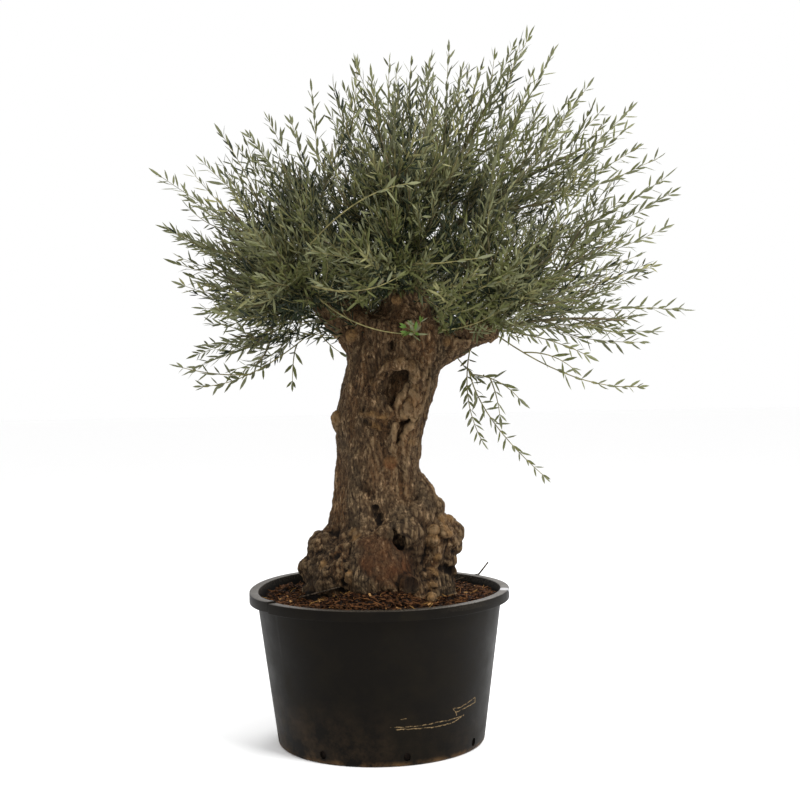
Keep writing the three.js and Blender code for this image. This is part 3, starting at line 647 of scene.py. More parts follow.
def compost():
    """Moist bark compost: dark brown crumbs with reddish fibre, no gloss."""
    made, tree, shader, place = new_material("moist_bark_compost", 0.95, 0.2)
    crumbs = add_node(tree, "ShaderNodeTexNoise", {
        "Vector": place, "Scale": per_metre(8.33), "Detail": 6.0, "Roughness": 0.7}).outputs["Fac"]
    share = add_node(tree, "ShaderNodeMapRange", {"Value": crumbs, "From Min": 0.35, "From Max": 0.7})
    body = coated(tree, "#080503", (share.outputs["Result"], "#20130a"))
    tree.links.new(body, shader.inputs["Base Color"])
    bump = add_node(tree, "ShaderNodeBump", {"Height": crumbs, "Strength": 0.8, "Distance": 4 * MM})
    tree.links.new(bump.outputs["Normal"], shader.inputs["Normal"])
    return made


def two_toned(name, roughness, specular, size, levels, dark, light):
    """A material that noise of a size in millimetres takes from dark to light between two levels."""
    made, tree, shader, place = new_material(name, roughness, specular)
    noise = add_node(tree, "ShaderNodeTexNoise", {"Vector": place, "Scale": per_metre(size), "Detail": 4.0})
    share = shares_of(tree, {"light": (noise.outputs["Fac"], *levels)})
    tree.links.new(coated(tree, dark, (share["light"], light)), shader.inputs["Base Color"])
    return made


def litter(name, dark, light, grain):
    """Shredded bark and wood on the soil: split faces with a streaky grain, drawn coarse enough to show."""
    return two_toned(name, 0.9, 0.06, grain, (0.4, 0.6), dark, light)


def olive_bark():
    """Bark of an old olive: grey-brown plates, tan where a burr has worn smooth, near black in the cracks and
    hollows by painted shade, and lighter on ridges and flecks by painted highlights.
    """
    made, tree, shader, place = new_material("old_olive_bark", 0.9, 0.12)
    upright = add_node(tree, "ShaderNodeMapping", {"Vector": place, "Scale": (1.0, 1.0, 0.42)}).outputs[0]
    patches = add_node(tree, "ShaderNodeTexNoise", {
        "Vector": upright, "Scale": per_metre(71.4), "Detail": 5.0}).outputs["Fac"]
    fibres = add_node(tree, "ShaderNodeTexNoise", {
        "Vector": upright, "Scale": per_metre(5.26), "Detail": 6.0, "Roughness": 0.78}).outputs["Fac"]
    flecks = add_node(tree, "ShaderNodeTexNoise", {
        "Vector": upright, "Scale": per_metre(11.9), "Detail": 8.0, "Roughness": 0.82}).outputs["Fac"]
    share = shares_of(tree, {
        "warm": (patches, 0.35, 0.65), "streak": (fibres, 0.4, 0.56), "worn": (fibres, 0.3, 0.62),
        "lit": (flecks, 0.54, 0.66), "ember": (flecks, 0.38, 0.62), "dull": (flecks, 0.46, 0.33)})
    for mark in ("crack_shade", "ridge_highlight", "pale", "red"):
        share[mark] = add_node(tree, "ShaderNodeAttribute", attribute_name=mark).outputs["Fac"]
    plates = coated(tree, "#544635", (share["warm"], "#6f5033"))
    rust = coated(tree, "#190f08", (share["ember"], "#6c4225"))
    tan = coated(tree, "#463220", (share["worn"], "#a07c50"))
    body = coated(
        tree, "#2a1f16", (share["streak"], plates), (share["ridge_highlight"], "#a08663"), (share["lit"], "#bf9f78"),
        (share["red"], rust), (share["dull"], "#20170f"), (share["pale"], tan), (share["crack_shade"], "#150f0a"))
    tree.links.new(body, shader.inputs["Base Color"])
    coarse = add_node(tree, "ShaderNodeBump", {"Height": flecks, "Strength": 0.9, "Distance": 12 * MM})
    bump = add_node(tree, "ShaderNodeBump", {
        "Height": fibres, "Normal": coarse.outputs["Normal"], "Strength": 0.8, "Distance": 5 * MM})
    tree.links.new(bump.outputs["Normal"], shader.inputs["Normal"])
    return made


def twig_bark(name, dark, light):
    """Bark of young olive wood: smooth, with paler flecks, grey-tan on twigs and straw-green on shoots.
    The flecks are drawn longer than they are, so that they show on a thin twig."""
    return two_toned(name, 0.75, 0.15, 16.67, (0.35, 0.65), dark, light)


def leaf_skin(name, colour, low, high):
    """Skin of an olive leaf: leathery and waxy above, felted and silvery below, in one plain colour.
    The wax is patchy, so the gloss varies between a low and a high roughness."""
    made, tree, shader, place = new_material(name, low, 0.18)
    shader.inputs["Base Color"].default_value = to_linear(colour)
    wax = add_node(tree, "ShaderNodeTexNoise", {"Vector": place, "Scale": per_metre(12.5), "Detail": 2.0})
    share = add_node(tree, "ShaderNodeMapRange", {"Value": wax.outputs["Fac"], "To Min": low, "To Max": high})
    tree.links.new(share.outputs["Result"], shader.inputs["Roughness"])
    return made


def studio_paper():
    """Uncoated white paper, rolled out under the pot: an even, matt white with hardly any mottle."""
    made, tree, shader, place = new_material("pale_paper", 0.9, 0.2)
    mottle = add_node(tree, "ShaderNodeTexNoise", {"Vector": place, "Scale": per_metre(333)}).outputs["Fac"]
    tree.links.new(coated(tree, "#fdfdfd", (mottle, "#fefefe")), shader.inputs["Base Color"])
    return made


# Stage

# Lamps: place in metres, power in watts and size in metres
LIGHTS = [
    ("key_lamp", (2.2, -2.4, 3.8), 180, 1.4),
    ("back_lamp", (0.8, 2.8, 3.6), 85, 2.0),
]
LAMP_AIM = (0.05, 0.0, 1.0)  # place in metres that the lamps point to
FLOOR_HALF = 40000.0


def set_stage():
    data = bpy.data.cameras.new("camera")
    data.lens = CAMERA.lens
    data.sensor_width = CAMERA.sensor
    camera = bpy.data.objects.new("camera", data)
    camera.location = [value * MM for value in CAMERA.at]
    camera.rotation_euler = (math.radians(90 + CAMERA.pitch), math.radians(CAMERA.roll), 0)
    bpy.context.scene.collection.objects.link(camera)
    bpy.context.scene.camera = camera
    bpy.context.scene.view_settings.view_transform = "Standard"

    corners = np.array([(x, y, 0) for x, y in ((-1, -1), (1, -1), (1, 1), (-1, 1))]) * FLOOR_HALF
    mesh_piece("floor", corners, [np.array([[0, 1, 2, 3]])], [studio_paper()])

    world = bpy.data.worlds.new("studio")
    world.use_nodes = True
    world.node_tree.nodes["Background"].inputs["Color"].default_value = (1, 1, 1, 1)
    world.node_tree.nodes["Background"].inputs["Strength"].default_value = 1.0
    bpy.context.scene.world = world
    for name, place, power, size in LIGHTS:
        lamp = bpy.data.lights.new(name, "AREA")
        lamp.energy = power
        lamp.size = size
        holder = bpy.data.objects.new(name, lamp)
        holder.location = place
        aim = np.subtract(LAMP_AIM, place)
        holder.rotation_euler = Vector(aim).to_track_quat("-Z", "Y").to_euler()
        bpy.context.scene.collection.objects.link(holder)


# Pot

def rounded(outline, radius, steps):
    """An outline with each inner corner turned by a short arc, drawn as a quadratic curve."""
    points = [outline[0]]
    for before, corner, after in zip(outline, outline[1:], outline[2:]):
        before, corner, after = np.array(before, float), np.array(corner, float), np.array(after, float)
        room = min(np.linalg.norm(corner - before), np.linalg.norm(after - corner)) * POT.arc_room
        back = corner + unit(before - corner) * min(radius, room)
        ahead = corner + unit(after - corner) * min(radius, room)
        points += [tuple(point) for point in bezier((back, corner, ahead), np.linspace(0, 1, steps))]
    return points + [outline[-1]]


def pot_outline():
    """Half the pot's cross-section, from the middle of its underside round the rim to its floor's middle."""
    mouth = POT.shoulder_radius - POT.wall
    top, under = POT.height, POT.height - POT.rim_thickness
    skirt_foot, skirt_inside = top - POT.skirt_height, POT.rim_radius - POT.skirt_thickness
    foot = POT.base_radius
    chamfer = POT.foot_chamfer
    wall = [(foot + (POT.shoulder_radius - foot) * share, chamfer + (under - chamfer) * share)
            for share in (0.1, 0.35, 0.65, 0.9)]
    outline = [(1.0, 0.0), (foot - chamfer, 0.0), (foot, chamfer), *wall,
               (POT.shoulder_radius, under), (skirt_inside, under), (skirt_inside, skirt_foot),
               (POT.rim_radius, skirt_foot), (POT.rim_radius, top), (mouth, top),
               (foot - POT.wall, POT.floor), (1.0, POT.floor)]
    return rounded(outline, POT.edge_round, POT.round_steps)


def drain_tree():
    """Cuts a ring of drain holes through the pot's wall."""
    tree, given = new_tree("drain_holes", "Pot", {
        "Pot": "Geometry", "Holes": "Int", "Hole radius": "Float", "Cut length": "Float",
        "Ring radius": "Float", "Height": "Float", "Turn": "Float", "Material": "Material"})
    ring = add_node(tree, "GeometryNodeMeshCircle", {
        "Vertices": given["Holes"], "Radius": given["Ring radius"]})
    spin = add_node(tree, "ShaderNodeCombineXYZ", {"Z": given["Turn"]})
    lift = add_node(tree, "ShaderNodeCombineXYZ", {"Z": given["Height"]})
    ring = add_node(tree, "GeometryNodeTransform", {
        "Geometry": ring.outputs["Mesh"], "Translation": lift.outputs[0], "Rotation": spin.outputs[0]})
    drill = add_node(tree, "GeometryNodeMeshCylinder", {
        "Vertices": DRAIN.sides, "Radius": given["Hole radius"], "Depth": given["Cut length"]})
    drill = add_node(tree, "GeometryNodeTransform", {
        "Geometry": drill.outputs["Mesh"], "Rotation": (0.0, math.pi / 2, 0.0),
        "Scale": (DRAIN.tall, 1.0, 1.0)})
    place = add_node(tree, "GeometryNodeInputPosition").outputs[0]
    level = add_node(tree, "ShaderNodeVectorMath", {0: place, 1: (1.0, 1.0, 0.0)}, operation="MULTIPLY")
    facing = add_node(tree, "FunctionNodeAlignEulerToVector", {"Vector": level.outputs[0]}, axis="X")
    drills = add_node(tree, "GeometryNodeInstanceOnPoints", {
        "Points": ring.outputs["Geometry"], "Instance": drill.outputs["Geometry"],
        "Rotation": facing.outputs["Rotation"]})
    drills = add_node(tree, "GeometryNodeRealizeInstances", {"Geometry": drills.outputs["Instances"]})
    cut = add_node(tree, "GeometryNodeMeshBoolean", {
        "Mesh 1": given["Pot"], "Mesh 2": drills.outputs["Geometry"]}, operation="DIFFERENCE", solver="EXACT")
    whole = add_node(tree, "GeometryNodeRealizeInstances", {"Geometry": cut.outputs["Mesh"]})
    skin = add_node(tree, "GeometryNodeSetMaterial", {
        "Geometry": whole.outputs["Geometry"], "Material": given["Material"]})
    add_node(tree, "NodeGroupOutput", {"Pot": skin.outputs["Geometry"]})
    return tree


def new_tree(name, result, inputs):
    """A tree of geometry nodes with named inputs and one result."""
    tree = bpy.data.node_groups.new(name, "GeometryNodeTree")
    for socket, kind in inputs.items():
        tree.interface.new_socket(socket, in_out="INPUT", socket_type=f"NodeSocket{kind}")
    tree.interface.new_socket(result, in_out="OUTPUT", socket_type="NodeSocketGeometry")
    return tree, add_node(tree, "NodeGroupInput").outputs


def grown(base, tree, values, name):
    """The plain mesh object that a node tree makes of a base object, which is then removed."""
    modifier = base.modifiers.new(tree.name, "NODES")
    modifier.node_group = tree
    for item in tree.interface.items_tree:
        if item.in_out == "INPUT" and item.name in values:
            modifier[item.identifier] = values[item.name]
    bpy.context.view_layer.update()
    seen = base.evaluated_get(bpy.context.evaluated_depsgraph_get())
    mesh = bpy.data.meshes.new_from_object(seen)
    mesh.name = name
    base.modifiers.remove(modifier)
    bpy.data.objects.remove(base)
    made = bpy.data.objects.new(name, mesh)
    bpy.context.scene.collection.objects.link(made)
    return made


def lip_faces(mesh):
    """Which faces of the pot face up on the rim's lip, and not in its split."""
    centres, normals = np.empty(3 * len(mesh.polygons)), np.empty(3 * len(mesh.polygons))
    mesh.polygons.foreach_get("center", centres)
    mesh.polygons.foreach_get("normal", normals)
    x, y, z = centres.reshape(-1, 3).T / MM
    out, turn = np.hypot(x, y), math.radians(SPLIT.azimuth)
    in_split = np.hypot(x - out * math.cos(turn), y - out * math.sin(turn)) < LIP.soft
    on_lip = (out > LIP.inner) & (z > LIP.height) & (normals[2::3] > LIP.facing_up)
    return on_lip & ~in_split


def make_pot():
    outline = np.array(pot_outline())
    angles = np.linspace(0, 2 * np.pi, POT.segments, endpoint=False)
    sides = np.radians(SPLIT.azimuth + SPLIT.gap * np.array([-1.0, 1.0]))
    angles = np.sort(np.append(angles, sides))
    rows, columns = len(outline), len(angles)
    reach = outline[:, :1] / POT.rim_radius
    sway, heave = (sum(share * POT.warp * np.sin(waves * angles + start) for share, waves, start in warp)
                   for warp in (WARP_ASIDE, WARP_UP))
    mean, back, right, askew = POT.rim_rise
    rise = mean + back * np.sin(angles) + right * np.cos(angles) + askew * np.sin(2 * angles)
    before = math.radians(SPLIT.azimuth) - angles
    step_up = SPLIT.rise * np.exp(-np.abs(before) / math.radians(SPLIT.fade))
    rise = rise + np.where(before > 0, step_up, 0)
    lift = (rise + heave) * (outline[:, 1:] / POT.height) ** 3
    radius = outline[:, :1] + reach ** 2 * sway * (outline[:, 1:] / POT.height)
    points = np.stack([radius * np.cos(angles), radius * np.sin(angles), outline[:, 1:] + lift], axis=2)
    points = points.reshape(-1, 3)
    foot, inside = len(points), len(points) + 1
    points = np.concatenate([points, [(0, 0, 0), (0, 0, POT.floor)]])
    last = (rows - 1) * columns
    caps = np.concatenate([fan_faces(foot, 0, columns, False), fan_faces(inside, last, columns, True)])
    plastic = pot_plastic("black_polypropylene_moulded", gloss=0.075)
    blank = mesh_piece("pot_blank", points, [grid_faces(rows, columns), caps], [plastic])
    made = grown(blank, drain_tree(), {
        "Holes": DRAIN.count, "Hole radius": DRAIN.radius * MM, "Cut length": DRAIN.cut * MM,
        "Ring radius": POT.base_radius * MM, "Height": DRAIN.height * MM,
        "Turn": math.radians(DRAIN.first_azimuth), "Material": plastic}, "pot_body")
    made.data.shade_smooth()
    made.data.set_sharp_from_angle(angle=math.radians(POT.sharp_angle))
    made.data.materials.append(pot_plastic("black_polypropylene_polished_lip", gloss=0.5))
    made.data.polygons.foreach_set("material_index", lip_faces(made.data).astype(np.int32))
    hand_over(made, "pot_plastic", "pot")


# Soil

def inner_radius(height):
    """Radius of the pot's inside at a height."""
    top = POT.height - POT.edge_round
    share = (height - POT.floor) / (top - POT.floor)
    return POT.base_radius + (POT.shoulder_radius - POT.base_radius) * share - POT.wall


def slot_share(x, y):
    """How much a place lies in the dark slot that opens in the soil at the left."""
    turn, (slot_x, slot_y) = SOIL_SLOT.turn, SOIL_SLOT.at
    along = (x - slot_x) * math.cos(turn) + (y - slot_y) * math.sin(turn)
    across = -(x - slot_x) * math.sin(turn) + (y - slot_y) * math.cos(turn)
    inside = (along / SOIL_SLOT.half_length) ** 2 + (across / SOIL_SLOT.half_width) ** 2
    return ramp(-inside, -1.2, -0.5)


def soil_height(x, y):
    """The soil's level at a place, with its heaps, crumbs and the dark slot at the left."""
    out = np.hypot(x, y)
    level = SOIL.level - SOIL.edge_drop * ramp(out, SOIL.flat_radius, inner_radius(SOIL.level))
    level = level + SOIL.front_rise * ramp(-y, *SOIL.front)
    for place_x, place_y, rise, radius in SOIL_HEAPS:
        level = level + rise * np.exp(-((x - place_x) ** 2 + (y - place_y) ** 2) / (0.5 * radius * radius))
    flat = np.stack([x, y, np.zeros_like(x)], axis=1)
    for crumb, size, salt in SOIL_CRUMBS:
        level = level + crumb * soft_noise(flat / size, salt)
    return level - SOIL_SLOT.depth * slot_share(x, y)


def soil_sheet(inner, outer, rings, segments):
    """Points of the soil's surface on rings from an inner to an outer radius."""
    radii = np.linspace(inner, outer, rings)
    angles = np.linspace(0, 2 * np.pi, segments, endpoint=False)
    x, y = (radii[:, None] * np.cos(angles)).ravel(), (radii[:, None] * np.sin(angles)).ravel()
    return np.stack([x, y, soil_height(x, y)], axis=1)


def make_soil():
    edge = inner_radius(SOIL.level - SOIL.edge_drop) - SOIL.clear
    columns = SOIL.segments
    top = soil_sheet(SOIL.first_ring, edge, SOIL.rings, columns)
    angles = np.linspace(0, 2 * np.pi, columns, endpoint=False)
    low = POT.floor + SOIL.clear
    low_radius = inner_radius(low) - SOIL.clear
    foot = np.stack([low_radius * np.cos(angles), low_radius * np.sin(angles), np.full(columns, low)], axis=1)
    points = np.concatenate([top, foot, [(0, 0, top[:columns, 2].mean()), (0, 0, low)]])
    rows = SOIL.rings + 1
    middle, under = rows * columns, rows * columns + 1
    last = (rows - 1) * columns
    caps = np.concatenate([fan_faces(middle, 0, columns, True), fan_faces(under, last, columns, False)])
    sheet = grid_faces(rows, columns)[:, ::-1]
    made = mesh_piece("soil_body", points, [sheet, caps], [compost()])
    hand_over(made, "potting_soil", "soil")


# Dry sticks on the soil: curve and radius at both ends
STICKS = [
    (((206, 206, 392), (250, 206, 404), (284, 206, 411)), 1.5, 1.7),
    (((281, 206, 408), (296, 206, 426), (310, 206, 444)), 2.8, 2.3),
    (((-206, -128, 406), (-150, -160, 424), (-98, -188, 441)), 2.6, 1.8),
]
STICK = Sizes(steps=10, sides=6, grain=9)


def make_sticks():
    groups = []
    for curve, thick, thin in STICKS:
        line = bezier(curve, np.linspace(0, 1, STICK.steps))
        radii = np.linspace(thick, thin, STICK.steps)
        groups.append((tubes(line[None], radii[None], STICK.sides), 0))
    points, faces, _ = joined_tubes(groups)
    bark = litter("dry_weathered_twig", "#211b15", "#51463a", STICK.grain)
    hand_over(mesh_piece("dry_sticks", points, faces, [bark]), "potting_soil", "soil")


# Scraps of litter: least and most of the usual size, a fibre's points and sides, and bends in a metre of each
SCRAP = Sizes(least=0.45, most=1.5, points=6, sides=3, fibre_bends=45.0, chip_bends=110.0)


def litter_tree(name, fibre):
    """Strews chips of bark, or thin fibres, over a surface."""
    tree, given = new_tree(name, "Litter", {
        "Surface": "Geometry", "Density": "Float", "Length": "Float", "Width": "Float", "Thickness": "Float",
        "Tilt": "Float", "Raggedness": "Float", "Seed": "Int", "Material": "Material"})
    spots = add_node(tree, "GeometryNodeDistributePointsOnFaces", {
        "Mesh": given["Surface"], "Density": given["Density"], "Seed": given["Seed"]})
    if fibre:
        half = add_node(tree, "ShaderNodeMath", {0: given["Length"], 1: 0.5}, operation="MULTIPLY").outputs[0]
        back = add_node(tree, "ShaderNodeMath", {0: half, 1: -1.0}, operation="MULTIPLY").outputs[0]
        line = add_node(tree, "GeometryNodeCurvePrimitiveLine", {
            "Start": add_node(tree, "ShaderNodeCombineXYZ", {"X": back}).outputs[0],
            "End": add_node(tree, "ShaderNodeCombineXYZ", {"X": half}).outputs[0]})
        line = add_node(tree, "GeometryNodeResampleCurve", {
            "Curve": line.outputs["Curve"], "Count": SCRAP.points})
        round_edge = add_node(tree, "GeometryNodeCurvePrimitiveCircle", {
            "Resolution": SCRAP.sides, "Radius": given["Width"]})
        scrap = add_node(tree, "GeometryNodeCurveToMesh", {
            "Curve": line.outputs["Curve"], "Profile Curve": round_edge.outputs["Curve"], "Fill Caps": True})
        scrap = scrap.outputs["Mesh"]
    else:
        ball = add_node(tree, "GeometryNodeMeshIcoSphere", {"Radius": 0.5, "Subdivisions": 1})
        size = add_node(tree, "ShaderNodeCombineXYZ", {
            "X": given["Length"], "Y": given["Width"], "Z": given["Thickness"]})
        scrap = add_node(tree, "GeometryNodeTransform", {
            "Geometry": ball.outputs["Mesh"], "Scale": size.outputs[0]}).outputs["Geometry"]
    down = add_node(tree, "ShaderNodeMath", {0: given["Tilt"], 1: -1.0}, operation="MULTIPLY").outputs[0]
    least = add_node(tree, "ShaderNodeCombineXYZ", {"X": down, "Y": down}).outputs[0]
    most = add_node(tree, "ShaderNodeCombineXYZ", {
        "X": given["Tilt"], "Y": given["Tilt"], "Z": 2 * math.pi}).outputs[0]
    turn = add_node(tree, "FunctionNodeRandomValue", {
        0: least, 1: most, "Seed": given["Seed"]}, data_type="FLOAT_VECTOR")
    scale = add_node(tree, "FunctionNodeRandomValue", {
        2: SCRAP.least, 3: SCRAP.most, "Seed": given["Seed"]}, data_type="FLOAT")
    strewn = add_node(tree, "GeometryNodeInstanceOnPoints", {
        "Points": spots.outputs["Points"], "Instance": scrap,
        "Rotation": turn.outputs[0], "Scale": scale.outputs[1]})
    loose = add_node(tree, "GeometryNodeRealizeInstances", {"Geometry": strewn.outputs["Instances"]})
    place = add_node(tree, "GeometryNodeInputPosition").outputs[0]
    bends = SCRAP.fibre_bends if fibre else SCRAP.chip_bends
    noise = add_node(tree, "ShaderNodeTexNoise", {"Vector": place, "Scale": bends, "Detail": 1.0})
    shift = add_node(tree, "ShaderNodeVectorMath", {
        0: noise.outputs["Color"], 1: (0.5, 0.5, 0.5)}, operation="SUBTRACT")
    shift = add_node(tree, "ShaderNodeVectorMath", {
        0: shift.outputs[0], "Scale": given["Raggedness"]}, operation="SCALE")
    ragged = add_node(tree, "GeometryNodeSetPosition", {
        "Geometry": loose.outputs["Geometry"], "Offset": shift.outputs[0]})
    skin = add_node(tree, "GeometryNodeSetMaterial", {
        "Geometry": ragged.outputs["Geometry"], "Material": given["Material"]})
    add_node(tree, "NodeGroupOutput", {"Litter": skin.outputs["Geometry"]})
    return tree


# Litter: whether fibre, pieces to a square metre, length, width, thickness, tilt, raggedness and colours
LITTER = {
    "bark_chips": (False, 7000, 24, 11, 6, 0.5, 9, "#0e0704", "#50341f"),
    "pale_chips": (False, 520, 20, 8, 4.5, 0.55, 6, "#664628", "#9d784c"),
    "dark_crumbs": (False, 9000, 12, 9, 8, 0.8, 7, "#080403", "#25150b"),
    "coir_fibres": (True, 3000, 46, 0.9, 0.9, 0.35, 18, "#382414", "#765031"),
    "pale_fibres": (True, 500, 42, 0.9, 0.9, 0.4, 16, "#6d4f2c", "#93713f"),
}


# Ring of soil that litter is strewn on, how far into the dark slot it goes, its seed and its grain
STREWN = Sizes(inner=96.0, edge_room=22, rings=40, segments=120, slot_most=0.4, seed=20, grain=10)


def make_litter():
    trees = {False: litter_tree("strewn_chips", False), True: litter_tree("strewn_fibres", True)}
    edge = inner_radius(SOIL.level) - STREWN.edge_room
    sheet = soil_sheet(STREWN.inner, edge, STREWN.rings, STREWN.segments)
    ground = grid_faces(STREWN.rings, STREWN.segments)[:, ::-1]
    ground = ground[slot_share(*sheet[ground[:, 0], :2].T) < STREWN.slot_most]
    for order, (name, kind) in enumerate(LITTER.items()):
        fibre, density, length, width, thickness, tilt, raggedness, dark, light = kind
        surface = mesh_piece(f"{name}_ground", sheet, [ground], [])
        made = grown(surface, trees[fibre], {
            "Density": float(density), "Length": length * MM, "Width": width * MM,
            "Thickness": thickness * MM, "Tilt": tilt, "Raggedness": raggedness * MM,
            "Seed": STREWN.seed + order,
            "Material": litter(f"shredded_{name}", dark, light, STREWN.grain)}, name)
        hand_over(made, "potting_soil", "soil")


# Trunk and boughs

def trunk_skin(angle, height):
    """Middle line and half width and depth of the trunk's smooth skin, as in the part's source."""
    heights = TRUNK_STATIONS[:, 0]
    height = np.clip(height, heights[0], heights[-1])
    index = np.clip(np.searchsorted(heights, height, side="right") - 1, 0, len(heights) - 2)
    share = (index + (height - heights[index]) / (heights[index + 1] - heights[index])) / (len(heights) - 1)
    middle, half_width, half_depth = (spline(TRUNK_STATIONS[:, column], share) for column in (1, 2, 3))
    rib = np.cos(RIBS.count * angle + RIBS.phase + RIBS.twist * 2 * np.pi * share)
    swell = 1 + RIBS.depth * rib
    burr = np.zeros_like(angle)
    for azimuth, lobe_height, out, lobe_width, lobe_tall in LOBES:
        apart = (angle - math.radians(azimuth) + np.pi) % (2 * np.pi) - np.pi
        across, along = half_width * apart / lobe_width, (height - lobe_height) / lobe_tall
        burr = np.maximum(burr, LOBE_SHARE * out * (1 - across * across - along * along))
    return middle, half_width * swell + burr, half_depth * swell + burr


def skin_point(azimuth, height, lift=0.0):
    angle = np.array([math.radians(azimuth)])
    middle, wide, deep = (float(value[0]) for value in trunk_skin(angle, np.array([float(height)])))
    return np.array([middle + (wide + lift) * math.cos(angle[0]), (deep + lift) * math.sin(angle[0]), height])


def knob_middle(azimuth, height, radius, lift):
    """The middle of a knob that stands out of the skin by a share of its radius."""
    return skin_point(azimuth, height, lift - KNOB_SINK * radius)


def soft_min(first, second, blend):
    overlap = np.maximum(blend - np.abs(first - second), 0) / blend
    return np.minimum(first, second) - overlap * overlap * blend / 4


class Wood:
    """A block of distances to the wood's surface, negative inside, that shapes are joined to or cut from."""

    far = 100.0
    everywhere = ((-9999,) * 3, (9999,) * 3)

    def __init__(self, low, high, step):
        self.low, self.step = np.array(low, float), step
        self.axes = [np.arange(start, end, step) for start, end in zip(low, high)]
        self.field = np.full([len(axis) for axis in self.axes], self.far, np.float32)

    def window(self, low, high):
        """The part of the block between two corners, and its places."""
        parts = []
        for axis, start, end in zip(self.axes, low, high):
            parts.append(slice(int(np.searchsorted(axis, start)), int(np.searchsorted(axis, end))))
        kept = [axis[part] for axis, part in zip(self.axes, parts)]
        return tuple(parts), np.meshgrid(*kept, indexing="ij", sparse=True)

    def shape(self, distance, low, high, blend, cut=False):
        """Joins a shape, given as a function of places, or cuts it away."""
        parts, places = self.window(np.subtract(low, blend), np.add(high, blend))
        here = self.field[parts]
        if here.size:
            found = distance(*places)
            self.field[parts] = -soft_min(-here, found, blend) if cut else soft_min(here, found, blend)

    def ball(self, centre, half_sizes, blend, cut=False, lean=0.0):
        """A ball or an oval. A lean turns it about Y, its top towards +X."""
        sizes = np.broadcast_to(half_sizes, 3).astype(float)
        cos, sin = math.cos(lean), math.sin(lean)

        def distance(x, y, z):
            out, up = x - centre[0], z - centre[2]
            across, along = out * cos - up * sin, out * sin + up * cos
            shares = across / sizes[0], (y - centre[1]) / sizes[1], along / sizes[2]
            return (np.sqrt(shares[0] ** 2 + shares[1] ** 2 + shares[2] ** 2) - 1) * sizes.min()

        reach = sizes.max() + self.step
        self.shape(distance, np.subtract(centre, reach), np.add(centre, reach), blend, cut)

    def rope(self, points, radii, blend, cut=False):
        """A row of tapering round links between points."""
        for start, end, thick, thin in zip(points, points[1:], radii, radii[1:]):
            start, span = np.asarray(start, float), np.subtract(end, start)

            def distance(x, y, z):
                dot = (x - start[0]) * span[0] + (y - start[1]) * span[1] + (z - start[2]) * span[2]
                share = np.clip(dot / (span @ span), 0, 1)
                away = sum((axis - start[k] - share * span[k]) ** 2 for k, axis in enumerate((x, y, z)))
                return np.sqrt(away) - (thick + (thin - thick) * share)

            reach = max(thick, thin) + self.step
            low, high = np.minimum(start, end) - reach, np.maximum(start, end) + reach
            self.shape(distance, low, high, blend, cut)

    def trunk(self, x, y, z):
        """Distances to the trunk's smooth skin."""
        middle = trunk_skin(np.zeros_like(z), z)[0]
        angle = np.arctan2(y, x - middle)
        _, wide, deep = trunk_skin(angle, np.broadcast_to(z, angle.shape))
        edge = np.hypot(wide * np.cos(angle), deep * np.sin(angle))
        return np.maximum(np.hypot(x - middle, y) - edge, z - TRUNK_STATIONS[-1, 0])

    def skin(self):
        """The wood's surface as points and faces."""
        grid = openvdb.FloatGrid(self.far)
        grid.copyFromArray(self.field)
        points, _, quads = grid.convertToPolygons(isovalue=0.0, adaptivity=0.0)
        return points * self.step + self.low, quads.astype(np.int64)


def bough_line(name, count=13):
    """Points, headings and radii along a bough."""
    thick, thin, *curve = BOUGHS[name]
    shares = np.linspace(0, 1, count)
    return bezier(curve, shares), bezier_heading(curve, shares), thick + (thin - thick) * shares


def seeded_knobs():
    """Knobs that fill up the burr: larger ones round the back, small ones in front, a few higher up."""
    dice = np.random.default_rng(KNOB_SEED)
    found = []
    for side, (count, azimuths, lowest, span, spread, radii, lifts) in SEEDED_KNOBS.items():
        for _ in range(count):
            azimuth = dice.uniform(*azimuths)
            height = lowest + span * (dice.beta(*spread) if spread else dice.uniform())
            radius = dice.uniform(*radii)
            if side == "back" and azimuth > LOW_BACK_LEFT.azimuth:
                height = min(height, LOW_BACK_LEFT.height)
            on_mound = mound_share(np.array([azimuth]), np.array([height]))[0] >= SMOOTH_MOUND.knob_free
            if side != "front" or not on_mound:
                found.append((azimuth, height, radius, dice.uniform(*lifts)))
    return found


def mound_share(azimuth, height):
    """How much a place lies on the smooth red mound at the trunk's front foot."""
    mound = SMOOTH_MOUND
    across = ((azimuth - mound.azimuth + 180) % 360 - 180) * math.radians(1) * mound.radius
    along = (height - mound.height + mound.slope * across) / mound.half_height
    return np.clip(mound.steepness * (1 - (across / mound.half_width) ** 2 - along ** 2), 0, 1)


def wandering(line, seed):
    """A line of azimuths, heights and radii with more points, which wander a little from it."""
    places = np.array(line, float)
    steps = np.linspace(0, len(places) - 1, WANDER.points * (len(places) - 1) + 1)
    dense = np.stack([np.interp(steps, np.arange(len(places)), column) for column in places.T], axis=1)
    dice = np.random.default_rng(seed)
    dense[:, 0] += dice.normal(0, WANDER.azimuth, len(dense))
    dense[:, 1] += dice.normal(0, WANDER.height, len(dense))
    dense[:, 2] *= dice.uniform(*WANDER.radius, len(dense))
    return dense


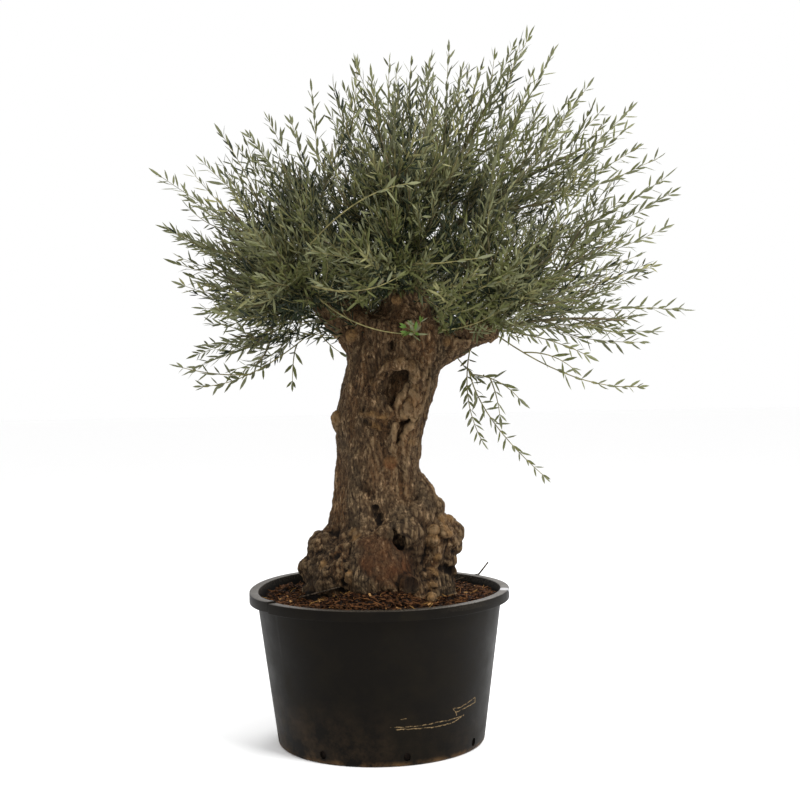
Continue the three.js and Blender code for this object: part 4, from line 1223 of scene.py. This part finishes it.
def carve_wood():
    """The trunk and boughs with knobs, rolls, strands, hollows and grooves, before the bark's relief."""
    wood = Wood(*WOOD_BOX, BARK["voxel"])
    wood.shape(wood.trunk, *wood.everywhere, BLEND.trunk)
    for name in BOUGHS:
        points, _, radii = bough_line(name)
        wood.rope(points, radii, BLEND.fork)
    for place, radius in SWELLINGS:
        wood.ball(place, radius, BLEND.swelling)
    for order, (azimuth, height, radius, lift) in enumerate(seeded_knobs() + BARK_KNOBS + PALE_KNOBS):
        sizes = [radius * (1 + KNOB_VARY * (2 * chance(order, axis, 9) - 1)) for axis in range(3)]
        lean = 2 * math.pi * chance(order, 3, 9)
        wood.ball(knob_middle(azimuth, height, radius, lift), sizes, BLEND.knob, lean=lean)
    knot = SIDE_KNOT.radius
    wood.rope([SIDE_KNOT.at, SIDE_KNOT.neck], [knot, knot * 0.8], BLEND.knob)
    for place, radius in [(ROOT_STUB.at, ROOT_STUB.radius), *BOUGH_CUTS]:
        wood.ball(place, radius, BLEND.knob)
    wood.rope([place for place, _ in SHOULDER], [radius for _, radius in SHOULDER], BLEND.shoulder)
    for order, roll in enumerate(BARK_ROLLS):
        line = wandering(roll, ROLL_SEED + order)
        points = [skin_point(azimuth, height, ROLL_LIFT) for azimuth, height, _ in line]
        wood.rope(points, line[:, 2], BLEND.roll)
    (top, top_azimuth), (low, low_azimuth) = STRANDS.top, STRANDS.foot
    shares = np.linspace(0, 1, STRANDS.points)
    for strand in range(STRANDS.count):
        offset = (strand - (STRANDS.count - 1) / 2) * STRANDS.apart
        sway = STRANDS.sway * np.sin(5 * shares + 2.3 * strand)
        azimuths = top_azimuth + (low_azimuth - top_azimuth) * shares + offset * (1 - 0.25 * shares) + sway
        points = [skin_point(a, top + (low - top) * s, STRAND_LIFT) for a, s in zip(azimuths, shares)]
        wood.rope(points, np.full(len(points), STRANDS.radius), BLEND.strand)
    root, out = skin_point(SAWN_ROOT.azimuth, SAWN_ROOT.height), direction_of(SAWN_ROOT.azimuth, 0)
    ends = [root - SAWN_ROOT.buried * out, root + SAWN_ROOT.lift * out]
    wood.rope(ends, [SAWN_ROOT.radius] * 2, BLEND.root)
    for centre, half_sizes, lean in BOWLS:
        wood.ball(centre, half_sizes, BLEND.hollow, cut=True, lean=lean)
    for order, (deepest, groove) in enumerate(GROOVES):
        line = wandering(groove, order)
        for depth in np.linspace(2, -deepest, 2 + deepest // GROOVE_STEP):
            points = [skin_point(azimuth, height, depth) for azimuth, height, _ in line]
            wood.rope(points, line[:, 2], BLEND.hollow, cut=True)
    centre = skin_point(RED_WOUND.azimuth, RED_WOUND.height, RED_WOUND.lift)
    sizes = (RED_WOUND.radius * 1.2, RED_WOUND.half_depth, RED_WOUND.radius)
    wood.ball(centre, sizes, BLEND.hollow, cut=True, lean=RED_WOUND.lean)
    face = root + (SAWN_ROOT.lift + SAWN_ROOT.radius * 0.5 + SAWN_ROOT.saw_radius) * out
    wood.ball(face, SAWN_ROOT.saw_radius, BLEND.saw, cut=True)
    wood.shape(lambda x, y, z: z - GROUND + 0 * (x + y), *wood.everywhere, BLEND.trunk, cut=True)
    return wood.skin()


def vertex_normals(points, faces):
    """Normals of points from the faces round them, the larger faces counting more."""
    total = np.zeros_like(points)
    square = np.cross(points[faces[:, 2]] - points[faces[:, 0]], points[faces[:, 3]] - points[faces[:, 1]])
    for corner in range(4):
        np.add.at(total, faces[:, corner], square)
    return unit(total)


def smoothed(values, faces, rounds):
    """Values at points, averaged over their neighbours a number of times."""
    count = np.zeros(len(values))
    for corner in range(4):
        np.add.at(count, faces[:, corner], 2)
    for _ in range(rounds):
        total = np.zeros_like(values)
        for corner in range(4):
            beside = values[faces[:, (corner + 1) % 4]] + values[faces[:, corner - 1]]
            np.add.at(total, faces[:, corner], beside)
        values = total / count.reshape(-1, *[1] * (values.ndim - 1))
    return values


def bark_places(points):
    """Places on the bark as seen along its limb: an offset from the limb's middle, and a run along it."""
    middle = trunk_skin(np.zeros(len(points)), points[:, 2])[0]
    offset = np.stack([points[:, 0] - middle, points[:, 1], np.zeros(len(points))], axis=1)
    run = np.outer(points[:, 2], UP)
    past_top = np.maximum(points[:, 2] - BARK_RUN.trunk_top, 0)
    nearest = lengths(offset) / BARK_RUN.trunk_radius + past_top / BARK_RUN.fade
    high = np.flatnonzero(points[:, 2] > BARK_RUN.low)
    for order, name in enumerate(BOUGHS):
        line, heading, radii = bough_line(name, BARK_RUN.points)
        apart = lengths(points[high, None, :] - line[None])
        closest = apart.argmin(axis=1)
        share = apart[np.arange(len(high)), closest] / radii[closest] + BARK_RUN.bias
        nearer = share < nearest[high]
        better, closest = high[nearer], closest[nearer]
        nearest[better] = share[nearer]
        step = np.linalg.norm(line[1] - line[0])
        away = points[better] - line[closest]
        along = dots(away, heading[closest])
        offset[better] = away - along[:, None] * heading[closest]
        run[better] = heading[closest] * (closest * step + along + BARK_RUN.apart * (order + 1))[:, None]
    return offset, run


def near(points, place, radius, full, none):
    """1 at points within one share of a radius of a place, falling to 0 at another share."""
    return ramp(-lengths(points - place), -none * radius, -full * radius)


def bark_marks(points, azimuth, out):
    """How much each point lies on pale wood, a pruning cut, the red mound, the wound and the sawn root."""
    pale, cut = np.zeros(len(points)), np.zeros(len(points))
    spots = [(knob_middle(*knob), knob[2]) for knob in PALE_KNOBS]
    spots += [(np.array(SIDE_KNOT.at, float), SIDE_KNOT.radius * 0.9)]
    spots += [(np.array(ROOT_STUB.at, float), ROOT_STUB.radius)]
    for centre, radius in spots:
        pale = np.maximum(pale, near(points, centre, radius, 0.9, 1.45))
    for roll in BARK_ROLLS[:2]:
        for roll_azimuth, height, radius in roll:
            place = skin_point(roll_azimuth, height, ROLL_LIFT - 1)
            pale = np.maximum(pale, 0.5 * near(points, place, radius, 0.9, 2.0))
    for place, radius in BOUGH_CUTS:
        cut = np.maximum(cut, near(points, place, radius, 0.9, 1.3))
    red = mound_share(azimuth, points[:, 2]) * (out > SMOOTH_MOUND.outside)
    place = skin_point(RED_WOUND.azimuth, RED_WOUND.height)
    wound = near(points, place, RED_WOUND.radius, 0.8, 1.3)
    place = skin_point(SAWN_ROOT.azimuth, SAWN_ROOT.height, SAWN_ROOT.lift + 12)
    return pale, cut, red, wound, near(points, place, SAWN_ROOT.radius, 0.8, 1.1)


def make_wood():
    """The trunk and boughs in one mesh: bark's relief along the normals, and marks that colour it, painted
    shade and highlights among them.
    """
    points, faces = carve_wood()
    normals = vertex_normals(points, faces)
    height = points[:, 2]
    middle = trunk_skin(np.zeros(len(points)), height)[0]
    outward = points - np.stack([middle, 0 * middle, height], axis=1)
    if dots(normals, outward).mean() < 0:
        faces, normals = faces[:, ::-1], -normals
    azimuth = np.degrees(np.arctan2(points[:, 1], points[:, 0] - middle)) % 360
    pale, cut, red, wound, sawn = bark_marks(points, azimuth, np.hypot(points[:, 0] - middle, points[:, 1]))
    offset, run = bark_places(points)

    def furrows(kind, salt, bent=0.0):
        """Noise as wide and as long, along the limb, as a kind of furrow."""
        wide, long = BARK[kind]
        return soft_noise(offset / wide + run / long + bent, salt)

    def two_sizes(kind, salt):
        large, small = BARK[kind]
        return soft_noise(points / large, salt) + 0.6 * soft_noise(points / small, salt + 1)

    burr = ramp(-height, -BURR_TOP[0], -BURR_TOP[1])
    bent = 0.8 * furrows("bend", 3)[:, None] * np.array([1.0, -0.7, 0.4])
    worn = ramp(soft_noise(points / np.array(BARK["worn"]), 4), -0.55, 0.35)
    broad, between, fine = (np.abs(furrows(kind, salt, bent))
                            for kind, salt in (("broad", 11), ("middle", 12), ("fine", 13)))
    knotted = np.abs(soft_noise(points / np.array(BARK["burr"]) + bent, 14))
    broad = broad * (1 - burr) + knotted * burr
    flute = furrows("flute", 21) + 0.5 * furrows("strip", 22)
    rough = 1 - (1 - RELIEF.smooth) * np.clip(np.maximum(pale, np.maximum(1.4 * red, wound)), 0, 1.5)
    rise = RELIEF.broad * (ramp(broad, 0, 0.5) - 0.7) * (0.35 + 0.65 * worn)
    rise += RELIEF.middle * (ramp(between, 0, 0.42) - 0.7) * (0.45 + 0.55 * worn) * (1 - 0.45 * burr)
    rise += RELIEF.fine * (ramp(fine, 0, 0.4) - 0.6) + RELIEF.grain * furrows("grain", 23)
    rise = rise * rough + RELIEF.flute * flute * (1 - burr) * rough
    rise = rise + RELIEF.lumps * two_sizes("lumps", 24) * (0.6 + 0.5 * burr)
    rise += RELIEF.gnarl * two_sizes("gnarl", 29) * (0.25 + 0.75 * burr) * (1 - 0.5 * red)
    plate = 0.5 + 0.5 * furrows("plate", 26)
    above_cut = ramp(height, GROUND + 1, GROUND + 8)
    points = points + normals * (rise * above_cut)[:, None]

    # Painted shade, near black: in open furrows, in what lies deeper than its neighbours near and far, and in
    # shaded spots
    crack_shade = np.maximum((1 - ramp(broad, 0.0, 0.13)) * (0.3 + 0.7 * worn),
                       0.75 * (1 - ramp(between, 0.0, 0.16)) * (0.4 + 0.6 * worn))
    close = smoothed(points, faces, 3)
    wider = smoothed(close, faces, 16)
    widest = smoothed(wider, faces, 70)
    bulge, wide_bulge, widest_bulge = (dots(points - level, normals)
                                       for level in (close, wider, widest))
    sunk = np.maximum(ramp(-bulge * (1 + 0.5 * burr), 0.6, 3.4), ramp(-wide_bulge * (1 + burr), 3.0, 10.0))
    deep = np.maximum(np.maximum(0.7 * crack_shade * rough, sunk), 0.85 * ramp(-widest_bulge, 5.0, 20.0))
    # painted shadow, near black, on the bark where the soil leaves the trunk's foot
    gap = lengths((points - FOOT_SHADOW.at) / FOOT_SHADOW.half_sizes)
    # the burr is darker: its bark is a darker brown, and partly this is painted shade
    deep = np.maximum(deep * 0.9 + 0.2 * burr * (1 - pale), np.maximum(0.8 * sawn, ramp(-gap, -1.2, -0.8)))
    # painted shade over these spots low on the burr
    for spot, radius in SHADED:
        deep = np.maximum(deep, 0.5 * (1 - pale) * near(points, skin_point(*spot), radius, 0.5, 1.2))

    # painted highlight: bark that stands above its neighbours is lighter, more so on plates
    ridge_highlight = 0.8 * ramp(bulge, 0.1, 2.0) * (0.25 + 0.75 * plate)
    # pale wood shows more where it faces up: painted light from above, with noise
    patchy_top_light = np.clip(0.45 + 0.9 * soft_noise(points / BARK["patch"], 27) + 0.5 * normals[:, 2], 0, 1)
    upper = ramp(height, RED_WOUND.height - 10, RED_WOUND.height + 12)
    stain = np.clip(0.58 + 0.6 * soft_noise(points / BARK["stain"], 28), 0.15, 0.9)
    red = np.maximum(red * stain, 0.8 * wound)
    pale = np.maximum(pale * patchy_top_light, cut * (0.8 + 0.2 * patchy_top_light))
    pale = np.maximum(pale, wound * (0.06 + 0.45 * upper) * (0.5 + patchy_top_light))
    made = mesh_piece("olive_wood", points, [faces], [olive_bark()])
    for name, values in (("crack_shade", deep), ("ridge_highlight", ridge_highlight), ("pale", pale), ("red", red)):
        layer = made.data.attributes.new(name, "FLOAT", "POINT")
        layer.data.foreach_set("value", np.clip(values, 0, 1).astype(np.float32))
    hand_over(made, "bark", "trunk", *[f"bough_{name}" for name in BOUGHS])


# Foliage

FOLIAGE_SEED = 400
MASS_LIST = list(MASSES.values())
MASS_DIRECTIONS = np.array([direction_of(mass.azimuth, mass.elevation) for mass in MASS_LIST])
MASS_REACHES = np.array([mass.reach for mass in MASS_LIST], float)
MASS_MIDDLES = CROWN_CENTRE + MASS_DIRECTIONS * MASS_REACHES[:, None] * MASS_SPACE.seed_share
LIMB_POINTS = np.concatenate([bough_line(name, 25)[0] for name in BOUGHS])
LIMB_RADII = np.concatenate([bough_line(name, 25)[2] for name in BOUGHS])


def crown_reach(directions):
    """How far the crown reaches in each direction: the masses' reaches, the nearest ones counting most."""
    closeness = directions @ MASS_DIRECTIONS.T
    weight = np.exp(MASS_SPACE.focus * (closeness - closeness.max(axis=1, keepdims=True)))
    even = (weight * MASS_REACHES).sum(axis=1) / weight.sum(axis=1)
    return even * (1 - EDGE.depth * (0.5 - 0.5 * soft_noise(directions * EDGE.lobes, 31)))


def fits(points, index, share, room=0.0, radius=math.inf):
    """Whether points stay in a mass's space, within a share of the reach and a radius, and off the limbs."""
    out = points - CROWN_CENTRE
    distance = lengths(out)
    heading = unit(out)
    if (distance > np.minimum(crown_reach(heading) * share - room, radius)).any():
        return False
    low_x, high_x = OPENING.x
    before = (points[:, 1] < 0) & (points[:, 2] < OPENING.z)
    if (before & (points[:, 0] > low_x) & (points[:, 0] < high_x)).any():
        return False
    far = distance > MASS_SPACE.free_radius
    if (heading[far, 2] < math.sin(math.radians(MASS_LIST[index].lowest))).any():
        return False
    if (heading[far] @ MASS_DIRECTIONS[index] < math.cos(math.radians(MASS_SPACE.half_angle))).any():
        return False
    squares = ((points[:, None, :] - MASS_MIDDLES[None]) ** 2).sum(axis=2)
    apart = lengths(MASS_MIDDLES - MASS_MIDDLES[index])
    apart[index] = 1.0
    lead = (squares - squares[:, index:index + 1]) / (2 * apart)
    lead[:, index] = 0.0
    if (lead < -MASS_SPACE.overlap).any():
        return False
    gaps = lengths(points[:, None, :] - LIMB_POINTS[None]) - LIMB_RADII
    if (gaps < MASS_SPACE.limb_clearance).any():
        return False
    low = points[:, 2] < TRUNK_STATIONS[-2, 0]
    middle, wide, _ = trunk_skin(np.zeros(low.sum()), points[low, 2])
    return not (np.hypot(points[low, 0] - middle, points[low, 1]) < wide + MASS_SPACE.limb_clearance).any()


def stem_of(index):
    """A mass's stem, which grows on from the end of its bough."""
    start = np.array(BOUGHS[MASS_LIST[index].bough][-1], float)
    end = CROWN_CENTRE + MASS_DIRECTIONS[index] * (MASS_REACHES[index] - STEM["end_room"])
    bend = (start + end) / 2 + UP * STEM["arch"] * np.linalg.norm(end - start)
    return start, bend, end


def twigs_of(index, stem):
    """Twigs that leave the stem sideways and bend outwards and up, shortened until they fit."""
    found = []
    count = round(TWIG["count"] * min(MASS_LIST[index].fullness, 1))
    for order in range(count):
        place = order / (count - 1)
        share = TWIG["first"] + (TWIG["last"] - TWIG["first"]) * place
        start, along = bezier(stem, share), bezier_heading(stem, share)
        turn = order * GOLDEN_ANGLE + 2 * math.pi * chance(index, 0, 3)
        leaving = along * math.cos(TWIG["spread"]) + side_of(along, turn) * math.sin(TWIG["spread"])
        settling = unit(leaving + unit(start - CROWN_CENTRE) * TWIG["outward"] + UP * TWIG["lift"])
        change = 1 + TWIG["vary"] * (2 * chance(index, order, 4) - 1)
        full = TWIG["length"] * (1 - TWIG["taper"] * place) * change
        for trial in TWIG["trials"]:
            bend = start + leaving * full * trial / 2
            curve = (start, bend, bend + settling * full * trial / 2)
            if fits(bezier(curve, np.linspace(0.3, 1, 10)), index, 1.0, TWIG["tip_room"], TWIG_RADIUS):
                found.append((curve, turn))
                break
    return found


def shoots_of(index, limbs, dice):
    """Straight young shoots round the limbs, which fan outwards and stop within the crown's reach.
    Each limb is a curve, a turn, the share where its first shoot leaves and its radius."""
    lift, fullness = MASS_LIST[index].lift, MASS_LIST[index].fullness
    found = []
    for curve, turn, first, radius in limbs:
        line = bezier(curve, np.linspace(0, 1, 9))
        length = lengths(line[1:] - line[:-1]).sum()
        count = int(fullness * length * (1 - first) / SHOOT["apart"])
        for order in range(count + 1 if fullness else 0):
            last = order == count
            share = 1.0 if last else first + (SHOOT["last"] - first) * (order + dice.uniform(0, 1)) / count
            start, along = bezier(curve, share), bezier_heading(curve, share)
            spread = SHOOT["tip_spread"] if last else SHOOT["spread"] * dice.uniform(*SHOOT["spread_vary"])
            if radius:
                spread = dice.uniform(*SHOOT["bough_spread"])
            spin = turn + order * GOLDEN_ANGLE
            side = side_of(along, spin)
            start = start + side * radius
            leaving = along * math.cos(spread) + side * math.sin(spread)
            settling = leaving * SHOOT["inertia"] + unit(start - FAN_CENTRE) * SHOOT["outward"] + UP * lift
            settling = unit(settling + dice.normal(0, SHOOT["stray"], 3))
            outer = last or dice.uniform() < SHOOT["long_share"]
            kind = OUTER_SHOOT if outer else INNER_SHOOT
            full = kind.usual * dice.lognormal(0, kind.vary)
            furthest = dice.uniform(*OUTER_SHOOT.share) if outer else 1.0
            radius_most = math.inf if outer else dice.uniform(*INNER_SHOOT.radius)
            for trial in SHOOT["trials"]:
                reach = full * trial
                if reach < SHOOT["shortest"]:
                    break
                bend = start + leaving * reach * SHOOT["bend"]
                path = (start, bend, bend + settling * reach * (1 - SHOOT["bend"]))
                line = bezier(path, np.linspace(SHOOT["bend"], 1, 5))
                if fits(line, index, furthest, SHOOT["tip_room"], radius_most):
                    found.append((path, spin))
                    break
    return found


def leaders_of(index, limbs, dice):
    """Long single shoots from the limbs to the outline's furthest tips, for the mass nearest to each."""
    found = []
    roots = np.concatenate([bezier(curve, np.linspace(LEADER.first, 1, 12)) for curve in limbs])
    for across, up in LEADERS:
        out = np.array([across, dice.uniform(-1, 1) * LEADER.depth, up]) - CROWN_CENTRE
        tip = CROWN_CENTRE + out * (1 - LEADER.leaf_room / np.linalg.norm(out))
        if (MASS_DIRECTIONS @ unit(out)).argmax() != index:
            continue
        start = roots[lengths(roots - CROWN_CENTRE - out * LEADER.start_share).argmin()]
        bow = UP * LEADER.bow * np.linalg.norm(tip - start) * (1 if up < CROWN_CENTRE[2] else -1)
        found.append(((start, (start + tip) / 2 + bow, tip), dice.uniform(0, 2 * math.pi)))
    return found


def arches_of(name, limbs):
    """A mass's arching shoots, each from the limb or the earlier shoot that is near its start."""
    found = []
    for mass, start, bend, end, bare in ARCHING_SHOOTS:
        if mass != name:
            continue
        start, bend, end = (np.array(place, float) for place in (start, bend, end))
        earlier = limbs + [path for path, _ in found]
        roots = np.concatenate([bezier(curve, np.linspace(0.1, 1, 40)) for curve in earlier])
        apart = lengths(roots - start)
        start = roots[apart.argmin()] if apart.min() < ARCH.room else start
        found.append(((start, bend, end), bare))
    return found


def tubes(curves, radii, sides):
    """Closed tapering tubes along rows of points, as points and faces."""
    heading = unit(np.gradient(curves, axis=1))
    mean = unit(heading.mean(axis=1, keepdims=True))
    reference = np.where(np.abs(mean[..., 2:]) >= STEEP, np.array([1.0, 0.0, 0.0]), UP)
    first = unit(np.cross(heading, reference))
    second = np.cross(heading, first)
    angle = 2 * np.pi * np.arange(sides) / sides
    ring = first[:, :, None] * np.cos(angle)[:, None] + second[:, :, None] * np.sin(angle)[:, None]
    points = curves[:, :, None] + ring * radii[:, :, None, None]
    count, rows = curves.shape[:2]
    base = (np.arange(count) * rows * sides)[:, None, None]
    walls = (base + grid_faces(rows, sides)[None]).reshape(-1, 4)
    root = (base[:, 0] + np.arange(sides)[::-1]).reshape(-1, sides)
    tip = (base[:, 0] + (rows - 1) * sides + np.arange(sides)).reshape(-1, sides)
    return points.reshape(-1, 3), walls, np.concatenate([root, tip])


def tapered(curves, shape):
    """Points and radii along curves that taper from thick to thin."""
    shares = np.linspace(0, 1, shape["steps"])
    points = np.stack([bezier(curve, shares) for curve in curves])
    radii = shape["thick"] + (shape["thin"] - shape["thick"]) * shares
    return points, np.broadcast_to(radii, points.shape[:2])


def joined_tubes(groups):
    """Points and faces of groups of tubes, each with its bark, and the bark of each face."""
    points, faces, slots, count = [], [], [], 0
    for (made, walls, caps), bark in groups:
        points.append(made)
        faces += [walls + count, caps + count]
        slots.append(np.full(len(walls) + len(caps), bark))
        count += len(made)
    return np.concatenate(points), faces, np.concatenate(slots)


def make_twigs(name, groups, barks):
    """One mesh of all the limbs of a mass. Each group has its own shape and bark."""
    grown_tubes = [(tubes(*tapered(curves, shape), shape["sides"]), bark)
                   for curves, shape, bark in groups if curves]
    points, faces, slots = joined_tubes(grown_tubes)
    return mesh_piece(f"twigs_{name}", points, faces, barks, slots)


# One leaf: share of its length, of its half width, and height over its plane in lengths
LEAF_SHAPE = np.array([
    (0, 0, 0), (0.36, 0.95, -0.014), (0.36, 0, 0.012), (0.36, -0.95, -0.014),
    (0.70, 0.80, -0.014), (0.70, 0, 0.010), (0.70, -0.80, -0.014), (1, 0, 0),
])
UPPER_TRIANGLES = np.array([(0, 2, 1), (0, 3, 2), (5, 7, 4), (6, 7, 5)])
LOWER_TRIANGLES = np.array([(0, 1, 3), (4, 7, 6)])
UPPER_QUADS = np.array([(2, 5, 4, 1), (3, 6, 5, 2)])
LOWER_QUADS = np.array([(1, 4, 6, 3)])


def leaf_places(path, turn, first, dice, share=1.0, spread=1.0, apart=LEAF.apart, width=1.0, lit=0.0):
    """Roots, directions, facings, sizes and widths of a shoot's leaves: crossed pairs, and one at its end."""
    length = np.linalg.norm(np.subtract(path[2], path[0]))
    count = max(2, int(length * (LEAF.last - first) / apart))
    shares = np.repeat(np.linspace(first, LEAF.last, count), 2)
    pair, hand = np.repeat(np.arange(count), 2), np.tile([0, 1], count)
    along = bezier_heading(path, shares)
    turns = turn + (pair + 2 * hand) * (math.pi / 2) + dice.normal(0, LEAF.turn_vary, len(shares))
    side = side_of(along, turns)
    angle = LEAF.angle * spread * (1.15 - 0.45 * shares) + dice.normal(0, LEAF.angle_vary, len(shares))
    cos, sin = np.cos(angle)[:, None], np.sin(angle)[:, None]
    direction, face = along * cos + side * sin, along * sin - side * cos
    roots = bezier(path, shares)
    size = 1 - 0.3 * np.abs(2 * shares - 0.9) ** 2
    tip_along = bezier_heading(path, 1.0)[None]
    roots = np.concatenate([roots, bezier(path, LEAF.end)[None]])
    direction = np.concatenate([direction, tip_along])
    face = np.concatenate([face, side_of(tip_along, np.array([turn]))])
    size = np.append(size, LEAF.end_size) * (1 + LEAF.vary * dice.normal(0, 1, len(shares) + 1))
    twist = dice.normal(0, LEAF.twist, len(size))[:, None]
    face = face * np.cos(twist) + np.cross(direction, face) * np.sin(twist)
    toward = unit(LIGHT - direction * (direction @ LIGHT)[:, None])
    upward = np.sign(dots(face, toward) + 0.35)[:, None]
    face = unit(face * (1 - lit) + toward * lit * upward)
    size = np.clip(size, LEAF.smallest, LEAF.largest)
    return roots, direction, face, share * size, width * size ** 0.6


def make_leaves(name, sprays, skins, dice):
    """One mesh of a mass's leaves. Each spray takes one of the upper skins, and all share the lower one."""
    places = [spray for spray, _ in sprays]
    roots, direction, face, size, width = (np.concatenate(parts) for parts in zip(*places))
    tint = np.concatenate([np.full(len(spray[0]), skin) for spray, skin in sprays])
    across = np.cross(face, direction)
    length = LEAF.length * size
    bend = LEAF.bend * dice.normal(0.5, 1.0, len(size))
    along = LEAF_SHAPE[:, 0] * length[:, None]
    wide = LEAF_SHAPE[:, 1] * (LEAF.width / 2 * width)[:, None]
    high = (LEAF_SHAPE[:, 2] - bend[:, None] * LEAF_SHAPE[:, 0] ** 2) * length[:, None]
    points = roots[:, None] + along[..., None] * direction[:, None]
    points = points + wide[..., None] * across[:, None] + high[..., None] * face[:, None]
    base = (np.arange(len(size)) * len(LEAF_SHAPE))[:, None, None]
    faces, slots = [], []
    for corners in (UPPER_TRIANGLES, UPPER_QUADS, LOWER_TRIANGLES, LOWER_QUADS):
        upper = corners is UPPER_TRIANGLES or corners is UPPER_QUADS
        faces.append((base + corners).reshape(-1, corners.shape[1]))
        slots.append(np.repeat(tint if upper else np.full_like(tint, len(skins) - 1), len(corners)))
    slots = np.concatenate(slots)
    return mesh_piece(f"leaves_{name}", points.reshape(-1, 3), faces, skins, slots, smooth=False)


def sprout_paths(dice):
    """The short shoots of the young tuft."""
    at = np.array(SPROUT.at, float)
    paths = []
    for _ in range(SPROUT.shoots):
        heading = unit(np.array(SPROUT.lean) + dice.normal(0, 1, 3) * SPROUT.spread)
        out = heading * SPROUT.length * dice.uniform(*SPROUT.vary)
        paths.append((at, at + out * 0.5, at + out))
    return paths


def shoot_tint(tip, far, dice):
    """Which skin the leaves of a shoot have, drawn by where in the crown its tip lies. Inner and low left
    shoots mostly take the deep skin, which is painted shade.
    """
    place = "inner"
    if far > TINT_OUTER:
        place = "outer"
    elif tip[0] > TINT_LOW_RIGHT.x and tip[2] < TINT_LOW_RIGHT.z:
        place = "low_right"
    elif tip[2] < CROWN_CENTRE[2] and tip[0] < 0:
        place = "low_left"
    return dice.choice(len(TINTS[place]), p=TINTS[place])


# Barks of twigs and of shoots: darker and lighter colour
TWIG_BARKS = {"grey_olive_twig": ("#453f2d", "#665d45"), "straw_olive_shoot": ("#5c5838", "#857d52")}
# Skins of leaves, the lower one last: colour, and lowest and highest roughness
LEAF_SKINS = {
    "mature_olive_leaf": ("#4f522d", 0.48, 0.64), "grey_olive_leaf": ("#6a6c4c", 0.5, 0.68),
    # the deep skin is the leaf darkened by painted shade
    "shaded_deep_olive_leaf": ("#1b2313", 0.45, 0.62), "young_olive_leaf": ("#77754e", 0.48, 0.64),
    "fresh_olive_leaf": ("#50692a", 0.45, 0.6), "felted_leaf_underside": ("#686a50", 0.75, 0.92),
}


def make_foliage():
    """Each mass's stem, twigs and shoots in one mesh, and its leaves in another."""
    barks = [twig_bark(name, *colours) for name, colours in TWIG_BARKS.items()]
    skins = [leaf_skin(name, *look) for name, look in LEAF_SKINS.items()]
    for index, (name, mass) in enumerate(MASSES.items()):
        dice = np.random.default_rng(FOLIAGE_SEED + index)
        thick, thin, *bough = BOUGHS[mass.bough]
        stem = stem_of(index)
        twigs = twigs_of(index, stem) if mass.fullness else []
        grown_limbs = [stem, *[curve for curve, _ in twigs]] if mass.fullness else []
        limbs = [(curve, turn, SHOOT["first"], 0) for curve, turn in [(stem, index), *twigs]]
        limbs.append((bough, index, SHOOT["bough_first"], (thick + thin) / 2))
        shoots = shoots_of(index, limbs, dice)
        leaders = leaders_of(index, grown_limbs, dice) if mass.fullness else []
        sprays = []
        for path, turn in leaders:
            sprays.append((leaf_places(path, turn, LEAF.first, dice, **LEADER.leaves), dice.choice(2)))
        for path, turn in shoots:
            out = path[2] - CROWN_CENTRE
            far = np.linalg.norm(out) / MASS_REACHES[index]
            tint = shoot_tint(path[2], far, dice)
            inner = far < INNER_SHARE and mass.fullness > FULL_MASS
            sizes = INNER_LEAVES if inner else {"width": 1 - LEAF.narrower * abs(unit(out)[1])}
            sprays.append((leaf_places(path, turn, LEAF.first, dice, **sizes), tint))
        arches = arches_of(name, [bough] + grown_limbs)
        for order, (path, bare) in enumerate(arches):
            sprays.append((leaf_places(path, order, bare, dice, **ARCH.leaves), dice.choice(2)))
        tuft = sprout_paths(dice) if name == SPROUT.mass else []
        for order, path in enumerate(tuft):
            leaves = leaf_places(path, order, SPROUT.first, dice, SPROUT.leaf_share)
            sprays.append((leaves, SPROUT.skin))
        slim = 1.0 if mass.fullness > FULL_MASS else SLIM
        groups = [
            (grown_limbs[:1], {**STEM, "thick": STEM["thick"] * slim}, 0),
            (grown_limbs[1:], {**TWIG, "thick": TWIG["thick"] * slim}, 0),
            ([path for path, _ in shoots + leaders] + tuft, SHOOT, 1),
            ([path for path, _ in arches], ARCH.shape, 1),
        ]
        hand_over(make_twigs(name, groups, barks), "foliage", f"foliage_{name}")
        hand_over(make_leaves(name, sprays, skins, dice), "foliage", f"foliage_{name}")


set_stage()
make_pot()
make_soil()
make_litter()
make_sticks()
make_wood()
make_foliage()
